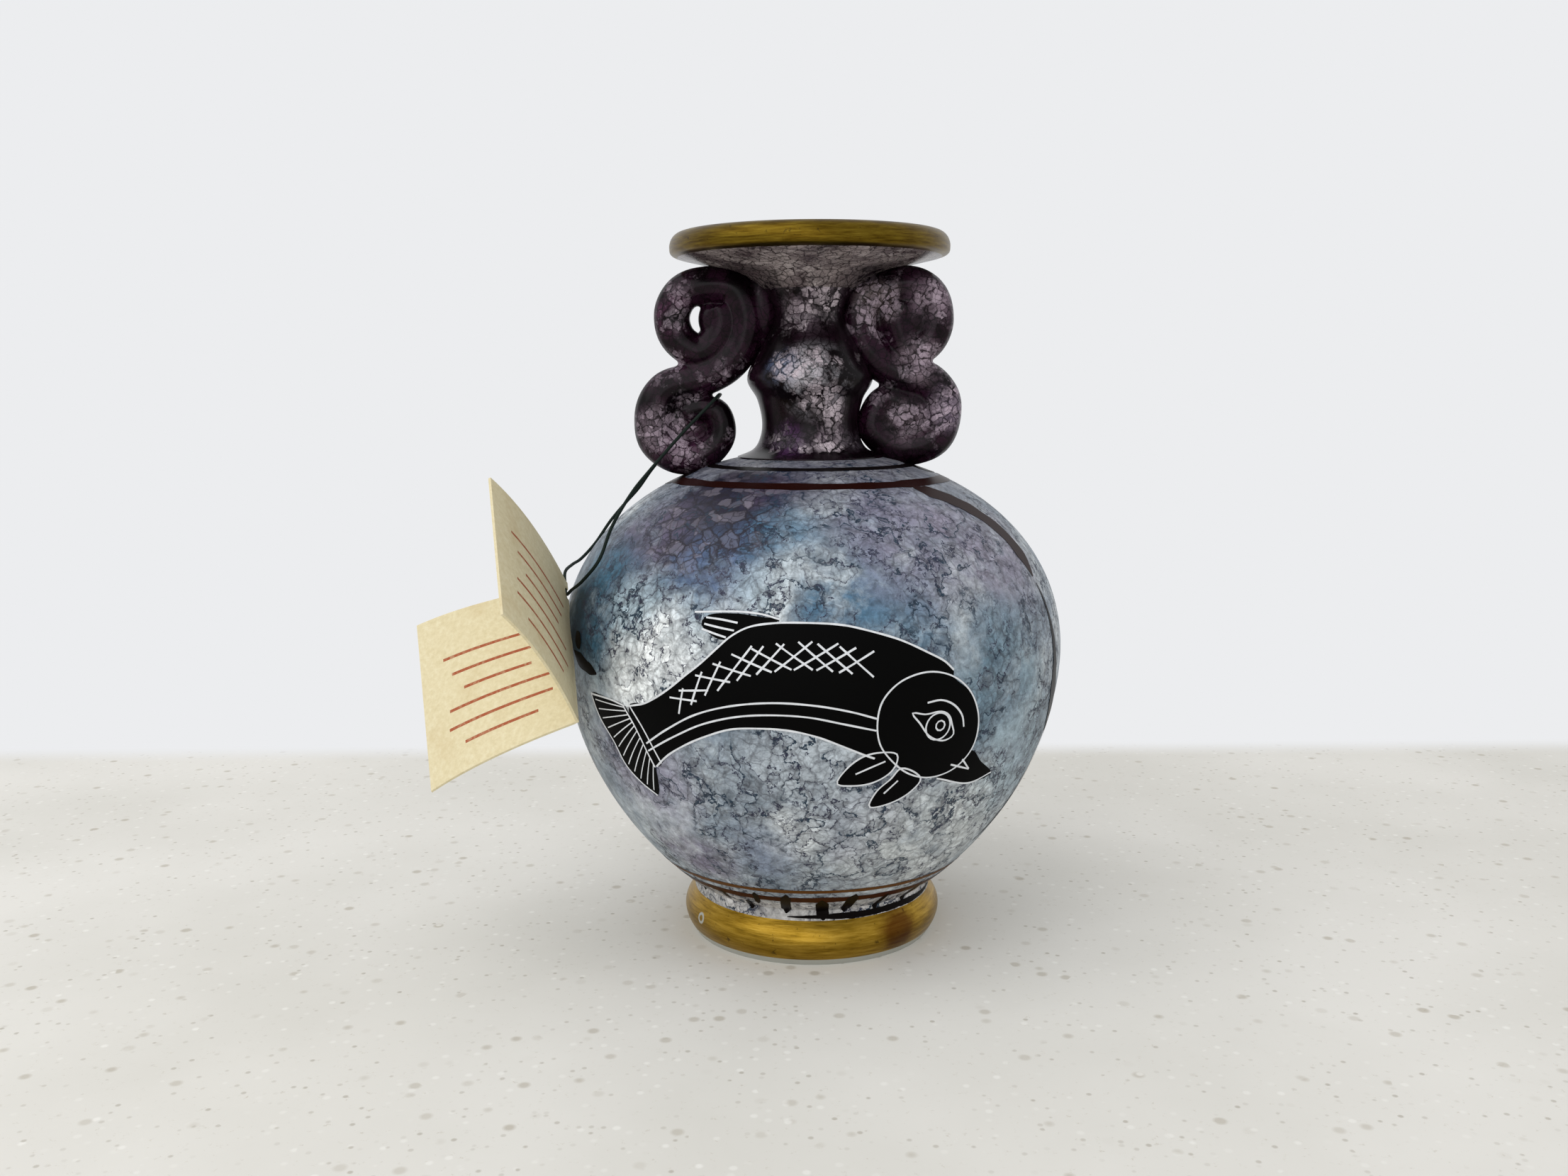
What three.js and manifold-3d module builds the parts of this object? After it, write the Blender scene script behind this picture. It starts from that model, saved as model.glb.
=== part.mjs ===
// Small terracotta vase with two scroll handles and a folded card tag on a wire loop.
// Millimetres, +Z up. The origin is on the vase's axis, on the surface that it stands on.
// -Y is the front, which carries the painted figure. The tag hangs on the -X side.

import * as THREE from 'three';
import { mergeVertices } from 'three/addons/utils/BufferGeometryUtils.js';
import Module from 'manifold-3d';

const wasm = await Module();
wasm.setup();

// Clearance between two curved pieces that touch on the real vase
const jointGap = 0.3;
const turnSteps = 48;

// Foot: a turned ring with a convex ridge
const footHeight = 8.1;
const footBaseRadius = 22.8;
const footRidgeRadius = 24.5;
const footRidgeHeight = 4.1;
const footTopRadius = 22.6;
const footBoreRadius = 16.5;
const footBoreFlare = 1;
const footRidgeSoftness = 0.5;

// Belly: a thrown globe, squatter above its widest ring than below
const bellyRadius = 46.5;
const bellyMiddle = 54.5;
const shoulderHeight = 36.3;
const shoulderPower = 2.1;
const lowerBellyHeight = 53;
const lowerPower = 1.8;
const bellyWall = 4.5;
const floorThickness = 5;
const floorEdge = 1;

// Neck: collar, waist, bulb, throat and the seat of the mouth
const collarRadius = 13.6;
const collarHeight = 0.5;
const waistRadius = 9.05;
const waistRise = 6.65;
const bulbRadius = 11.75;
const bulbRise = 14.65;
const throatRadius = 6.7;
const throatRise = 25.65;
const neckTopRadius = 8.6;
const neckHeight = 30.45;
const collarFlare = 1.7;
const collarFlareRise = 1.5;
const collarSweep = 0.4;
const bulbFootSwell = 0.85;
const neckWall = 2.7;
const neckBoreAtCollar = 8.3;

// Mouth: a flared dish, with a rolled lip on its edge
const mouthRadius = 25.6;
const mouthHeight = 7.4;
const mouthEdge = 2;
const flareNearNeck = 4.4;
const flareNearEdge = 4.8;
const flareEdgeInset = 0.6;
const dishShelf = 3;
const dishFunnel = 1.6;
const lipHeight = 2.6;
const lipWidth = 4.3;

// Scroll handles: each is one coil of clay, rolled up at both ends
const coilRadius = 3.45;
const upperTipRadius = 3.1;
const coilSides = 10;
const coilSteps = 56;
const coilSpans = 7;
const upperVoluteHeight = 6;
const upperVoluteDrop = 0.4;
const lowerVoluteSink = 0.8;

// The left handle stands wider than the right one. Each volute has the distance of its centre
// from the axis, its half width and its half height.
const leftUpperX = 19.5;
const leftUpperWidth = 5.8;
const leftLowerX = 22.6;
const leftLowerWidth = 6.7;
const leftLowerHeight = 6.4;
const leftLowerTip = 2.3;
const leftStemX = 11.65;
const rightUpperX = 18.5;
const rightUpperWidth = 4.6;
const rightLowerX = 18;
const rightLowerWidth = 6.8;
const rightLowerHeight = 6.2;
const rightLowerTip = 2.8;
const rightStemX = 9;

// How a coil winds: angles in degrees round a volute, and the eye, which is how far out its
// inner end stays, as a share of the half width
const upperStart = { from: 95, foldAfter: 180, foldOver: 65 };
const lowerStart = { from: 12, foldAfter: 185, foldOver: 110 };
const windings = {
  leftUpper: { ...upperStart, turn: 312, eye: 0.6 },
  rightUpper: { ...upperStart, turn: 325, eye: 0.52 },
  leftLower: { ...lowerStart, turn: 300, eye: 0.25 },
  rightLower: { ...lowerStart, turn: 400, eye: 0.2 },
};
const windingSteps = 7;
const crown = { angle: 134, reach: 1.28 };
const bend = { angle: 104, reach: 1.3 };
const shoulderBend = { angle: 58, reach: 1.13 };

// The stem between the volutes: offsets out and up from its narrowest point
const stemLift = 1.6;
const stemOffsets = [
  [0.7, 4],
  [0, 0],
  [1.2, -4.2],
  [4.1, -7.6],
];

// Clay that was pressed in by hand: a web between the left stem and the throat, the pad that
// closes the eye of the left lower volute from behind, and the plugs of the other eyes. The
// left upper plug leaves a slit open on its outer side. Half sizes along X, Y and Z.
const webHalf = new THREE.Vector3(3.2, 2.4, 7.6);
const webX = 9;
const webAboveStem = 3.4;
const padHalf = new THREE.Vector3(4.2, 1.6, 4.4);
const padBehind = 0.9;
const plugHalf = new THREE.Vector3(6, 2.6, 5.2);
const slitPlugHalf = new THREE.Vector3(2.3, 2.5, 3.3);
const slitPlugInset = 1.4;

const handles = {
  left: {
    side: -1,
    upper: {
      x: leftUpperX,
      width: leftUpperWidth,
      height: upperVoluteHeight,
      winding: windings.leftUpper,
    },
    lower: {
      x: leftLowerX,
      width: leftLowerWidth,
      height: leftLowerHeight,
      winding: windings.leftLower,
    },
    lowerTip: leftLowerTip,
    stemX: leftStemX,
  },
  right: {
    side: 1,
    upper: {
      x: rightUpperX,
      width: rightUpperWidth,
      height: upperVoluteHeight,
      winding: windings.rightUpper,
    },
    lower: {
      x: rightLowerX,
      width: rightLowerWidth,
      height: rightLowerHeight,
      winding: windings.rightLower,
    },
    lowerTip: rightLowerTip,
    stemX: rightStemX,
  },
};

// Tag: one card, folded once, and hung by a wire through a hole on the fold
const leafLong = 33;
const leafWide = 28.7;
const cardThickness = 0.45;
const leafBow = 1.1;
const backLeafTwist = 7.4;
const frontLeafTwist = -1.4;
const twistSteps = 5;
const foldSetback = 0.6;
const holeRadius = 1.5;
const holeDrop = 3;
const foldTop = new THREE.Vector3(-45.2, -6.4, 66.9);
const foldDown = new THREE.Vector3(0.159, -0.787, -0.598).normalize();
const backLeafOut = new THREE.Vector3(-0.963, 0.01, -0.268).normalize();
const leafOpening = THREE.MathUtils.degToRad(82.5);

// Wire loop: its route from the crevice of the left handle, down to the tag and back
const wireDiameter = 0.6;
const wireSteps = 78;
const wireRoute = [
  [-16.7, -1.0, 101.0],
  [-16.7, -3.0, 101.0],
  [-18.0, -4.7, 99.6],
  [-22.9, -5.7, 94.6],
  [-29.2, -8.0, 87.5],
  [-31.9, -11.0, 84.1],
  [-35.2, -15.2, 78.4],
  [-37.2, -19.6, 72.7],
  [-40.3, -17.8, 69.0],
  [-43.1, -12.6, 66.6],
  [-44.6, -9.3, 65.3],
  [-45.2, -6.5, 66.8],
  [-45.6, -3.6, 68.6],
  [-45.0, 1.8, 69.4],
  [-43.9, 6.0, 70.0],
  [-41.6, 10.2, 72.6],
  [-38.9, 12.2, 76.6],
  [-36.0, 12.2, 80.0],
  [-33.2, 11.0, 83.0],
  [-29.8, 8.4, 87.4],
  [-24.0, 6.0, 93.4],
  [-18.0, 4.7, 99.6],
  [-16.7, 3.0, 101.0],
  [-16.7, 1.0, 101.0],
];

const bodyGlaze = material('#aab4c0', 0.34, 0);
const handleGlaze = material('#4b3342', 0.26, 0);
const gilding = material('#a07c2c', 0.38, 1);
const card = material('#efe3bd', 0.85, 0);
const wireCoat = material('#1d2622', 0.5, 0.2);

function material(color, roughness, metalness) {
  return new THREE.MeshStandardMaterial({ color, roughness, metalness });
}

// A closed section in the (radius, height) plane, turned about the vertical axis
function turned(section) {
  const closed = [...section, section[0]].map(([r, z]) => new THREE.Vector2(r, z));
  const geometry = new THREE.LatheGeometry(closed, turnSteps);
  geometry.rotateX(Math.PI / 2);
  return solidOf(geometry);
}

// Welds a three.js geometry into a closed solid with its faces pointing out
function solidOf(geometry) {
  const bare = geometry.index ? geometry.toNonIndexed() : geometry.clone();
  bare.deleteAttribute('normal');
  bare.deleteAttribute('uv');
  const welded = mergeVertices(bare, 1e-4);
  const corners = welded.index.array;
  const vertices = welded.attributes.position;
  const kept = [];
  for (let i = 0; i < corners.length; i += 3) {
    const [a, b, c] = [corners[i], corners[i + 1], corners[i + 2]];
    if (a !== b && b !== c && a !== c) kept.push(a, b, c);
  }
  if (signedVolume(vertices, kept) < 0) kept.reverse();
  const mesh = new wasm.Mesh({
    numProp: 3,
    vertProperties: new Float32Array(vertices.array),
    triVerts: new Uint32Array(kept),
  });
  return new wasm.Manifold(mesh);
}

function signedVolume(vertices, corners) {
  const [a, b, c] = [new THREE.Vector3(), new THREE.Vector3(), new THREE.Vector3()];
  let total = 0;
  for (let i = 0; i < corners.length; i += 3) {
    a.fromBufferAttribute(vertices, corners[i]);
    b.fromBufferAttribute(vertices, corners[i + 1]);
    c.fromBufferAttribute(vertices, corners[i + 2]);
    total += a.dot(b.cross(c));
  }
  return total;
}

function meshOf(name, solid, finish) {
  const { numProp, vertProperties, triVerts } = solid.getMesh();
  const points = new Float32Array((vertProperties.length / numProp) * 3);
  for (let i = 0; i < points.length / 3; i += 1) {
    points.set(vertProperties.subarray(i * numProp, i * numProp + 3), i * 3);
  }
  const geometry = new THREE.BufferGeometry();
  geometry.setAttribute('position', new THREE.BufferAttribute(points, 3));
  geometry.setIndex(new THREE.BufferAttribute(new Uint32Array(triVerts), 1));
  geometry.computeVertexNormals();
  const mesh = new THREE.Mesh(geometry, finish);
  mesh.name = name;
  return mesh;
}

// Heights of the seats, from the foot up
const neckSeat = bellyMiddle + shoulderAbove(collarRadius, 0);
const mouthSeat = neckSeat + neckHeight;
const lipSeat = mouthSeat + mouthHeight;

// Height of the shoulder over the widest ring, at a radius, for the wall's outside or inside
function shoulderAbove(radius, wall) {
  const share = (radius / (bellyRadius - wall)) ** shoulderPower;
  return (shoulderHeight - wall) * (1 - share) ** (1 / shoulderPower);
}

// Depth of the lower belly under the widest ring, at a radius
function lowerBelow(radius, wall) {
  const share = (radius / (bellyRadius - wall)) ** lowerPower;
  return (lowerBellyHeight - wall) * (1 - share) ** (1 / lowerPower);
}

// Points of the belly's curve from its foot to its collar, on the outside or inside of the wall
function bellyCurve(fromRadius, toRadius, wall, steps) {
  const widest = bellyRadius - wall;
  const points = [];
  const low = Math.acos((fromRadius / widest) ** (lowerPower / 2));
  const high = Math.acos((toRadius / widest) ** (shoulderPower / 2));
  for (let i = 0; i < steps; i += 1) {
    const radius = widest * Math.cos(low * (1 - i / steps)) ** (2 / lowerPower);
    points.push([radius, bellyMiddle - lowerBelow(radius, wall)]);
  }
  for (let i = 0; i <= steps; i += 1) {
    const radius = widest * Math.cos((high * i) / steps) ** (2 / shoulderPower);
    points.push([radius, bellyMiddle + shoulderAbove(radius, wall)]);
  }
  return points;
}

function bellySection() {
  const floor = footHeight + floorThickness;
  const outside = bellyCurve(footTopRadius, collarRadius, 0, 10);
  const innerFoot = footTopRadius - bellyWall;
  const inside = bellyCurve(innerFoot, neckBoreAtCollar, bellyWall, 6);
  const cavity = inside.filter(([, z]) => z > floor + floorEdge / 2);
  return [
    [0, footHeight],
    [footTopRadius, footHeight],
    ...outside,
    [neckBoreAtCollar, neckSeat],
    ...cavity.reverse(),
    [innerFoot - floorEdge, floor],
    [0, floor],
  ];
}

function footSection() {
  const ridge = new THREE.SplineCurve([
    new THREE.Vector2(footBaseRadius, 0),
    new THREE.Vector2(footRidgeRadius - footRidgeSoftness, footRidgeHeight / 2),
    new THREE.Vector2(footRidgeRadius, footRidgeHeight),
    new THREE.Vector2(footRidgeRadius - footRidgeSoftness, (footRidgeHeight + footHeight) / 2),
    new THREE.Vector2(footTopRadius, footHeight),
  ]);
  const outside = ridge.getPoints(8).map((p) => [p.x, p.y]);
  return [...outside, [footBoreRadius, footHeight], [footBoreRadius + footBoreFlare, 0]];
}

// The neck's line, as rises over its seat; inset by the wall for its channel
function neckCurve(inset, steps) {
  const line = new THREE.SplineCurve([
    new THREE.Vector2(collarRadius - inset, collarHeight / 2),
    new THREE.Vector2(waistRadius + collarFlare - inset, collarFlareRise),
    new THREE.Vector2(waistRadius + collarSweep - inset, (collarHeight + waistRise) / 2),
    new THREE.Vector2(waistRadius - inset, waistRise),
    new THREE.Vector2(waistRadius + bulbFootSwell - inset, (waistRise + bulbRise) / 2),
    new THREE.Vector2(bulbRadius - inset, bulbRise),
    new THREE.Vector2((bulbRadius + throatRadius) / 2 - inset, (bulbRise + throatRise) / 2),
    new THREE.Vector2(throatRadius - inset, throatRise),
    new THREE.Vector2(neckTopRadius - inset, neckHeight),
  ]);
  return line.getPoints(steps).map((p) => [p.x, neckSeat + p.y]);
}

function neckSection() {
  const channel = neckCurve(neckWall, 10).filter(([, z]) => z > neckSeat + collarFlareRise);
  return [
    [collarRadius, neckSeat],
    ...neckCurve(0, 18),
    ...channel.reverse(),
    [neckBoreAtCollar, neckSeat],
  ];
}

// The flare under the mouth, from the neck's seat out to the edge
function mouthUnderside() {
  const flare = new THREE.SplineCurve([
    new THREE.Vector2(neckTopRadius, mouthSeat),
    new THREE.Vector2(neckTopRadius + flareNearNeck, mouthSeat + mouthHeight * 0.4),
    new THREE.Vector2(mouthRadius - flareNearEdge, mouthSeat + mouthHeight * 0.66),
    new THREE.Vector2(mouthRadius - flareEdgeInset, mouthSeat + mouthHeight * 0.81),
    new THREE.Vector2(mouthRadius, lipSeat),
  ]);
  return flare.getPoints(8).map((p) => [p.x, p.y]);
}

function mouthSection() {
  const bore = neckTopRadius - neckWall;
  const lipInside = mouthRadius - lipWidth;
  const dish = new THREE.SplineCurve([
    new THREE.Vector2(lipInside, lipSeat),
    new THREE.Vector2(lipInside - dishShelf, lipSeat - mouthEdge / 2),
    new THREE.Vector2((lipInside + bore) / 2, mouthSeat + mouthHeight * 0.62),
    new THREE.Vector2(bore + dishFunnel, mouthSeat + mouthHeight * 0.25),
    new THREE.Vector2(bore, mouthSeat),
  ]);
  return [...mouthUnderside(), ...dish.getPoints(6).map((p) => [p.x, p.y])];
}

function lipSection() {
  const middle = mouthRadius - lipWidth / 2;
  const points = [];
  const steps = 8;
  for (let i = 0; i <= steps; i += 1) {
    const angle = (Math.PI * i) / steps;
    points.push([
      middle + (lipWidth / 2) * Math.cos(angle),
      lipSeat + lipHeight * Math.sin(angle),
    ]);
  }
  return points;
}

// The vase's outer shape without handles, grown by the gap, to cut the handles to their seats
function handleCutter() {
  const outline = [
    [0, footHeight],
    ...bellyCurve(footTopRadius, collarRadius, 0, 10),
    ...neckCurve(0, 18),
    ...mouthUnderside(),
    [0, lipSeat],
  ];
  const grown = outline.map(([r, z], i) => {
    if (r === 0) return [r, z];
    const [r0, z0] = outline[i - 1];
    const [r1, z1] = outline[i + 1];
    const length = Math.hypot(r1 - r0, z1 - z0);
    return [r + (jointGap * (z1 - z0)) / length, z - (jointGap * (r1 - r0)) / length];
  });
  return turned(grown);
}

// A point of a volute, by its angle and its reach from the centre (1 is the outer turn)
function volutePoint(centre, { angle, reach }) {
  const radians = THREE.MathUtils.degToRad(angle);
  return [
    centre.x + centre.width * reach * Math.cos(radians),
    centre.z + centre.height * reach * Math.sin(radians),
  ];
}

// The coil winds clockwise from an angle and folds in towards the eye after foldAfter degrees
function volute(centre) {
  const { from, turn, foldAfter, foldOver, eye } = centre.winding;
  const points = [];
  for (let i = 0; i <= windingSteps; i += 1) {
    const travelled = (turn * i) / windingSteps;
    const folded = THREE.MathUtils.smoothstep(travelled, foldAfter, foldAfter + foldOver);
    const reach = 1 - (1 - eye) * folded;
    points.push(volutePoint(centre, { angle: from - travelled, reach }));
  }
  return points;
}

// The upper volute hangs under the mouth, and the lower one is pressed into the shoulder
function volutes({ upper, lower }) {
  const top = {
    ...upper,
    z: mouthSeat + mouthHeight * 0.64 - coilRadius - upper.height - upperVoluteDrop,
  };
  const bottom = {
    ...lower,
    z: bellyMiddle + shoulderAbove(lower.x, 0) + coilRadius + lower.height - lowerVoluteSink,
  };
  return { top, bottom };
}

function stemMiddleOf({ top, bottom }) {
  return (volutePoint(top, crown)[1] + volutePoint(bottom, bend)[1]) / 2 + stemLift;
}

// Centre line of a scroll handle in the XZ plane, from its upper eye to its lower eye
function handleLine(shape) {
  const { side, stemX } = shape;
  const { top, bottom } = volutes(shape);
  const stemTop = volutePoint(top, crown);
  const stemFoot = volutePoint(bottom, bend);
  const stemMiddle = stemMiddleOf({ top, bottom });
  const line = [
    ...volute(top).reverse(),
    stemTop,
    ...stemOffsets.map(([out, up]) => [stemX + out, stemMiddle + up]),
    stemFoot,
    volutePoint(bottom, shoulderBend),
    ...volute(bottom),
  ];
  const points = line.map(([x, z]) => new THREE.Vector3(side * x, 0, z));
  return new THREE.CatmullRomCurve3(points, false, 'centripetal');
}

function coilRadiusAt(t, lowerTip) {
  const fromUpper = THREE.MathUtils.smoothstep(t, 0, 0.28);
  const fromLower = THREE.MathUtils.smoothstep(1 - t, 0, 0.3);
  const upperRadius = THREE.MathUtils.lerp(upperTipRadius, coilRadius, fromUpper);
  return THREE.MathUtils.lerp(lowerTip, upperRadius, fromLower);
}

// One stretch of the coil, closed at both ends, as rings round its centre line
function coilSpan(line, lowerTip, first, last) {
  const points = [];
  const faces = [];
  for (let i = first; i <= last; i += 1) {
    const t = i / coilSteps;
    const centre = line.getPointAt(t);
    const along = line.getTangentAt(t);
    const across = new THREE.Vector3(-along.z, 0, along.x);
    const radius = coilRadiusAt(t, lowerTip);
    for (let k = 0; k < coilSides; k += 1) {
      const angle = (2 * Math.PI * k) / coilSides;
      const point = centre.clone().addScaledVector(across, radius * Math.cos(angle));
      point.y += radius * Math.sin(angle);
      points.push(...point.toArray());
    }
  }
  const rings = last - first;
  for (let i = 0; i < rings; i += 1) {
    for (let k = 0; k < coilSides; k += 1) {
      const a = i * coilSides + k;
      const b = i * coilSides + ((k + 1) % coilSides);
      faces.push(a, b, a + coilSides, b, b + coilSides, a + coilSides);
    }
  }
  for (let k = 1; k < coilSides - 1; k += 1) {
    faces.push(0, k + 1, k);
    const end = rings * coilSides;
    faces.push(end, end + k, end + k + 1);
  }
  const geometry = new THREE.BufferGeometry();
  geometry.setAttribute('position', new THREE.Float32BufferAttribute(points, 3));
  geometry.setIndex(faces);
  return solidOf(geometry);
}

// A flattened ball of clay
function pressedClay(half, x, y, z) {
  const ball = new THREE.SphereGeometry(1, 10, 6);
  ball.scale(half.x, half.y, half.z);
  ball.translate(x, y, z);
  return solidOf(ball);
}

// Clay pressed together holds no sealed hollows, so only the outer skin is kept
function outerSkin(solid) {
  return solid.decompose().reduce((kept, shell) => (shell.volume() > kept.volume() ? shell : kept));
}

function handle(name, shape, cutter, pressed) {
  const line = handleLine(shape);
  const span = coilSteps / coilSpans;
  let clay = coilSpan(line, shape.lowerTip, 0, span);
  for (let i = 1; i < coilSpans; i += 1) {
    clay = clay.add(coilSpan(line, shape.lowerTip, i * span, (i + 1) * span));
  }
  for (const piece of pressed) clay = clay.add(piece);
  return meshOf(name, outerSkin(clay.subtract(cutter)), handleGlaze);
}

function leftHandle(cutter) {
  const shape = handles.left;
  const { top, bottom } = volutes(shape);
  const stemMiddle = stemMiddleOf({ top, bottom });
  const web = pressedClay(webHalf, shape.side * webX, 0, stemMiddle + webAboveStem);
  const pad = pressedClay(padHalf, shape.side * bottom.x, padBehind, bottom.z);
  const plug = pressedClay(slitPlugHalf, shape.side * (top.x - slitPlugInset), 0, top.z);
  return handle('left_handle', shape, cutter, [web, pad, plug]);
}

function rightHandle(cutter) {
  const shape = handles.right;
  const { top, bottom } = volutes(shape);
  const plugs = [top, bottom].map(({ x, z }) => pressedClay(plugHalf, shape.side * x, 0, z));
  return handle('right_handle', shape, cutter, plugs);
}

// A leaf lies in its own XZ plane: X runs out from the fold, and Z runs up along the fold.
// Its inner face meets the fold's axis, so the two leaves can close face to face.
// The twist is how far its lower outer corner has warped out of that plane.
function leaf(name, back, twist) {
  const shape = new THREE.Shape();
  const front = back + cardThickness;
  const fullest = leafWide * 0.62;
  shape.moveTo(foldSetback, back);
  shape.quadraticCurveTo(fullest, 2 * leafBow + back, leafWide, back);
  shape.lineTo(leafWide, front);
  shape.quadraticCurveTo(fullest, 2 * leafBow + front, foldSetback, front);
  shape.closePath();
  const sheet = new THREE.ExtrudeGeometry(shape, {
    depth: leafLong,
    steps: twistSteps,
    bevelEnabled: false,
    curveSegments: 6,
  });
  sheet.translate(0, 0, -leafLong);
  const vertices = sheet.attributes.position;
  for (let i = 0; i < vertices.count; i += 1) {
    const share = (vertices.getX(i) / leafWide) * (vertices.getZ(i) / leafLong);
    vertices.setY(i, vertices.getY(i) + twist * share);
  }
  const punch = new THREE.CylinderGeometry(holeRadius, holeRadius, 8 * holeRadius, 16);
  punch.translate(0, 0, -holeDrop);
  return meshOf(name, solidOf(sheet).subtract(solidOf(punch)), card);
}

// The folded card: both leaves turn about the fold
function tag() {
  const up = foldDown.clone().negate();
  const normal = new THREE.Vector3().crossVectors(up, backLeafOut).normalize();
  const out = new THREE.Vector3().crossVectors(normal, up);
  const fold = new THREE.Group();
  fold.setRotationFromMatrix(new THREE.Matrix4().makeBasis(out, normal, up));
  fold.position.copy(foldTop);
  const front = leaf('tag_front_leaf', 0, frontLeafTwist);
  front.rotation.z = leafOpening;
  fold.add(leaf('tag_back_leaf', -cardThickness, backLeafTwist), front);
  return fold;
}

function wire() {
  const route = wireRoute.map((p) => new THREE.Vector3(...p));
  const section = new THREE.Shape();
  section.absarc(0, 0, wireDiameter / 2, 0, 2 * Math.PI);
  const geometry = new THREE.ExtrudeGeometry(section, {
    steps: wireSteps,
    curveSegments: 4,
    bevelEnabled: false,
    extrudePath: new THREE.CatmullRomCurve3(route),
  });
  return meshOf('tag_wire', solidOf(geometry), wireCoat);
}

const vase = new THREE.Group();
const cutter = handleCutter();
vase.add(
  meshOf('foot', turned(footSection()), gilding),
  meshOf('belly', turned(bellySection()), bodyGlaze),
  meshOf('neck', turned(neckSection()), handleGlaze),
  meshOf('mouth', turned(mouthSection()), bodyGlaze),
  meshOf('lip', turned(lipSection()), gilding),
  leftHandle(cutter),
  rightHandle(cutter),
  tag(),
  wire(),
);

export default vase;
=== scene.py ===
import math
import bmesh
import bpy
from mathutils import Matrix, Vector, noise


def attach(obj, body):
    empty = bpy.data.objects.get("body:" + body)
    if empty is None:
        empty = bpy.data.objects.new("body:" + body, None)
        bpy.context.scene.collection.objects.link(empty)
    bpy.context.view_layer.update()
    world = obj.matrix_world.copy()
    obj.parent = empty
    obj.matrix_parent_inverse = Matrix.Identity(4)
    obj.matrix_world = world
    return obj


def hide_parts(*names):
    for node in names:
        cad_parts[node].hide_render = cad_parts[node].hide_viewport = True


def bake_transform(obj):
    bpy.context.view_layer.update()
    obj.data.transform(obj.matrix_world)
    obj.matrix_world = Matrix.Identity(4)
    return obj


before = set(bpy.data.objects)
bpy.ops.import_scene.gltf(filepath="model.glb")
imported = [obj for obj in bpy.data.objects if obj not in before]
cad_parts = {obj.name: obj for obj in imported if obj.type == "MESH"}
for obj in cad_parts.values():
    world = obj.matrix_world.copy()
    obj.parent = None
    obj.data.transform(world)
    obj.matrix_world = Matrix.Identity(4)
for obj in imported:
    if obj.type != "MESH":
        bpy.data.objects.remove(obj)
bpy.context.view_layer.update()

# Small terracotta vase with two scroll handles, seen from the side of its painted fish.
# Sizes are millimetres, as in the part, and become metres where a mesh is made.
MM = 0.001

TURN_STEPS = 144
# Edges that bend by less than this are shaded smooth
CREASE_ANGLE = math.radians(40)
FOOT_HEIGHT = 8.1
FOOT_BASE_RADIUS = 22.8
FOOT_RIDGE_RADIUS = 24.5
FOOT_RIDGE_HEIGHT = 4.1
FOOT_TOP_RADIUS = 22.6
FOOT_BORE_RADIUS = 16.5
FOOT_BORE_FLARE = 1
FOOT_RIDGE_SOFTNESS = 0.5
# A round chip in the foot's gold, a stain on it, and the lower edge that it leaves bare
FOOT_CHIP = (-20.7, -12.4, 4.9)
FOOT_STAIN = (15.4, -18.6, 5)
UNPAINTED_EDGE = (1.15, 1.3)

BELLY_RADIUS = 46.5
BELLY_MIDDLE = 54.5
SHOULDER_HEIGHT = 36.3
SHOULDER_POWER = 2.1
LOWER_BELLY_HEIGHT = 53
LOWER_POWER = 1.8
BELLY_WALL = 4.5
FLOOR_THICKNESS = 5

COLLAR_RADIUS = 13.6
COLLAR_HEIGHT = 0.5
WAIST_RADIUS = 9.05
WAIST_RISE = 6.65
BULB_RADIUS = 11.75
BULB_RISE = 14.65
THROAT_RADIUS = 6.7
THROAT_RISE = 25.65
NECK_TOP_RADIUS = 8.6
NECK_HEIGHT = 30.45
COLLAR_FLARE = 1.7
COLLAR_FLARE_RISE = 1.5
COLLAR_SWEEP = 0.4
BULB_FOOT_SWELL = 0.85
NECK_WALL = 2.7
NECK_BORE_AT_COLLAR = 8.3
# Radius and rise of the neck's outside, from the collar to the mouth
NECK_LINE = [
    (COLLAR_RADIUS, COLLAR_HEIGHT / 2),
    (WAIST_RADIUS + COLLAR_FLARE, COLLAR_FLARE_RISE),
    (WAIST_RADIUS + COLLAR_SWEEP, (COLLAR_HEIGHT + WAIST_RISE) / 2),
    (WAIST_RADIUS, WAIST_RISE),
    (WAIST_RADIUS + BULB_FOOT_SWELL, (WAIST_RISE + BULB_RISE) / 2),
    (BULB_RADIUS, BULB_RISE),
    ((BULB_RADIUS + THROAT_RADIUS) / 2, (BULB_RISE + THROAT_RISE) / 2),
    (THROAT_RADIUS, THROAT_RISE),
    (NECK_TOP_RADIUS, NECK_HEIGHT),
]

MOUTH_RADIUS = 25.6
MOUTH_HEIGHT = 7.4
MOUTH_EDGE = 2
# Radius and share of the mouth's height, along its outside and inside
MOUTH_FLARE = [
    (NECK_TOP_RADIUS + 4.4, 0.4), (MOUTH_RADIUS - 4.8, 0.66), (MOUTH_RADIUS - 0.6, 0.81),
]
DISH_EDGE = 3
DISH_MIDDLE = 0.62
DISH_FOOT = (1.6, 0.25)
LIP_HEIGHT = 2.6
LIP_WIDTH = 4.3
LIP_STEPS = 18
GOLD_UNDER_LIP = 1.7

COIL_RADIUS = 3.45
UPPER_TIP_RADIUS = 3.1
UPPER_TAPER = 0.28
LOWER_TAPER = 0.3
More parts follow.
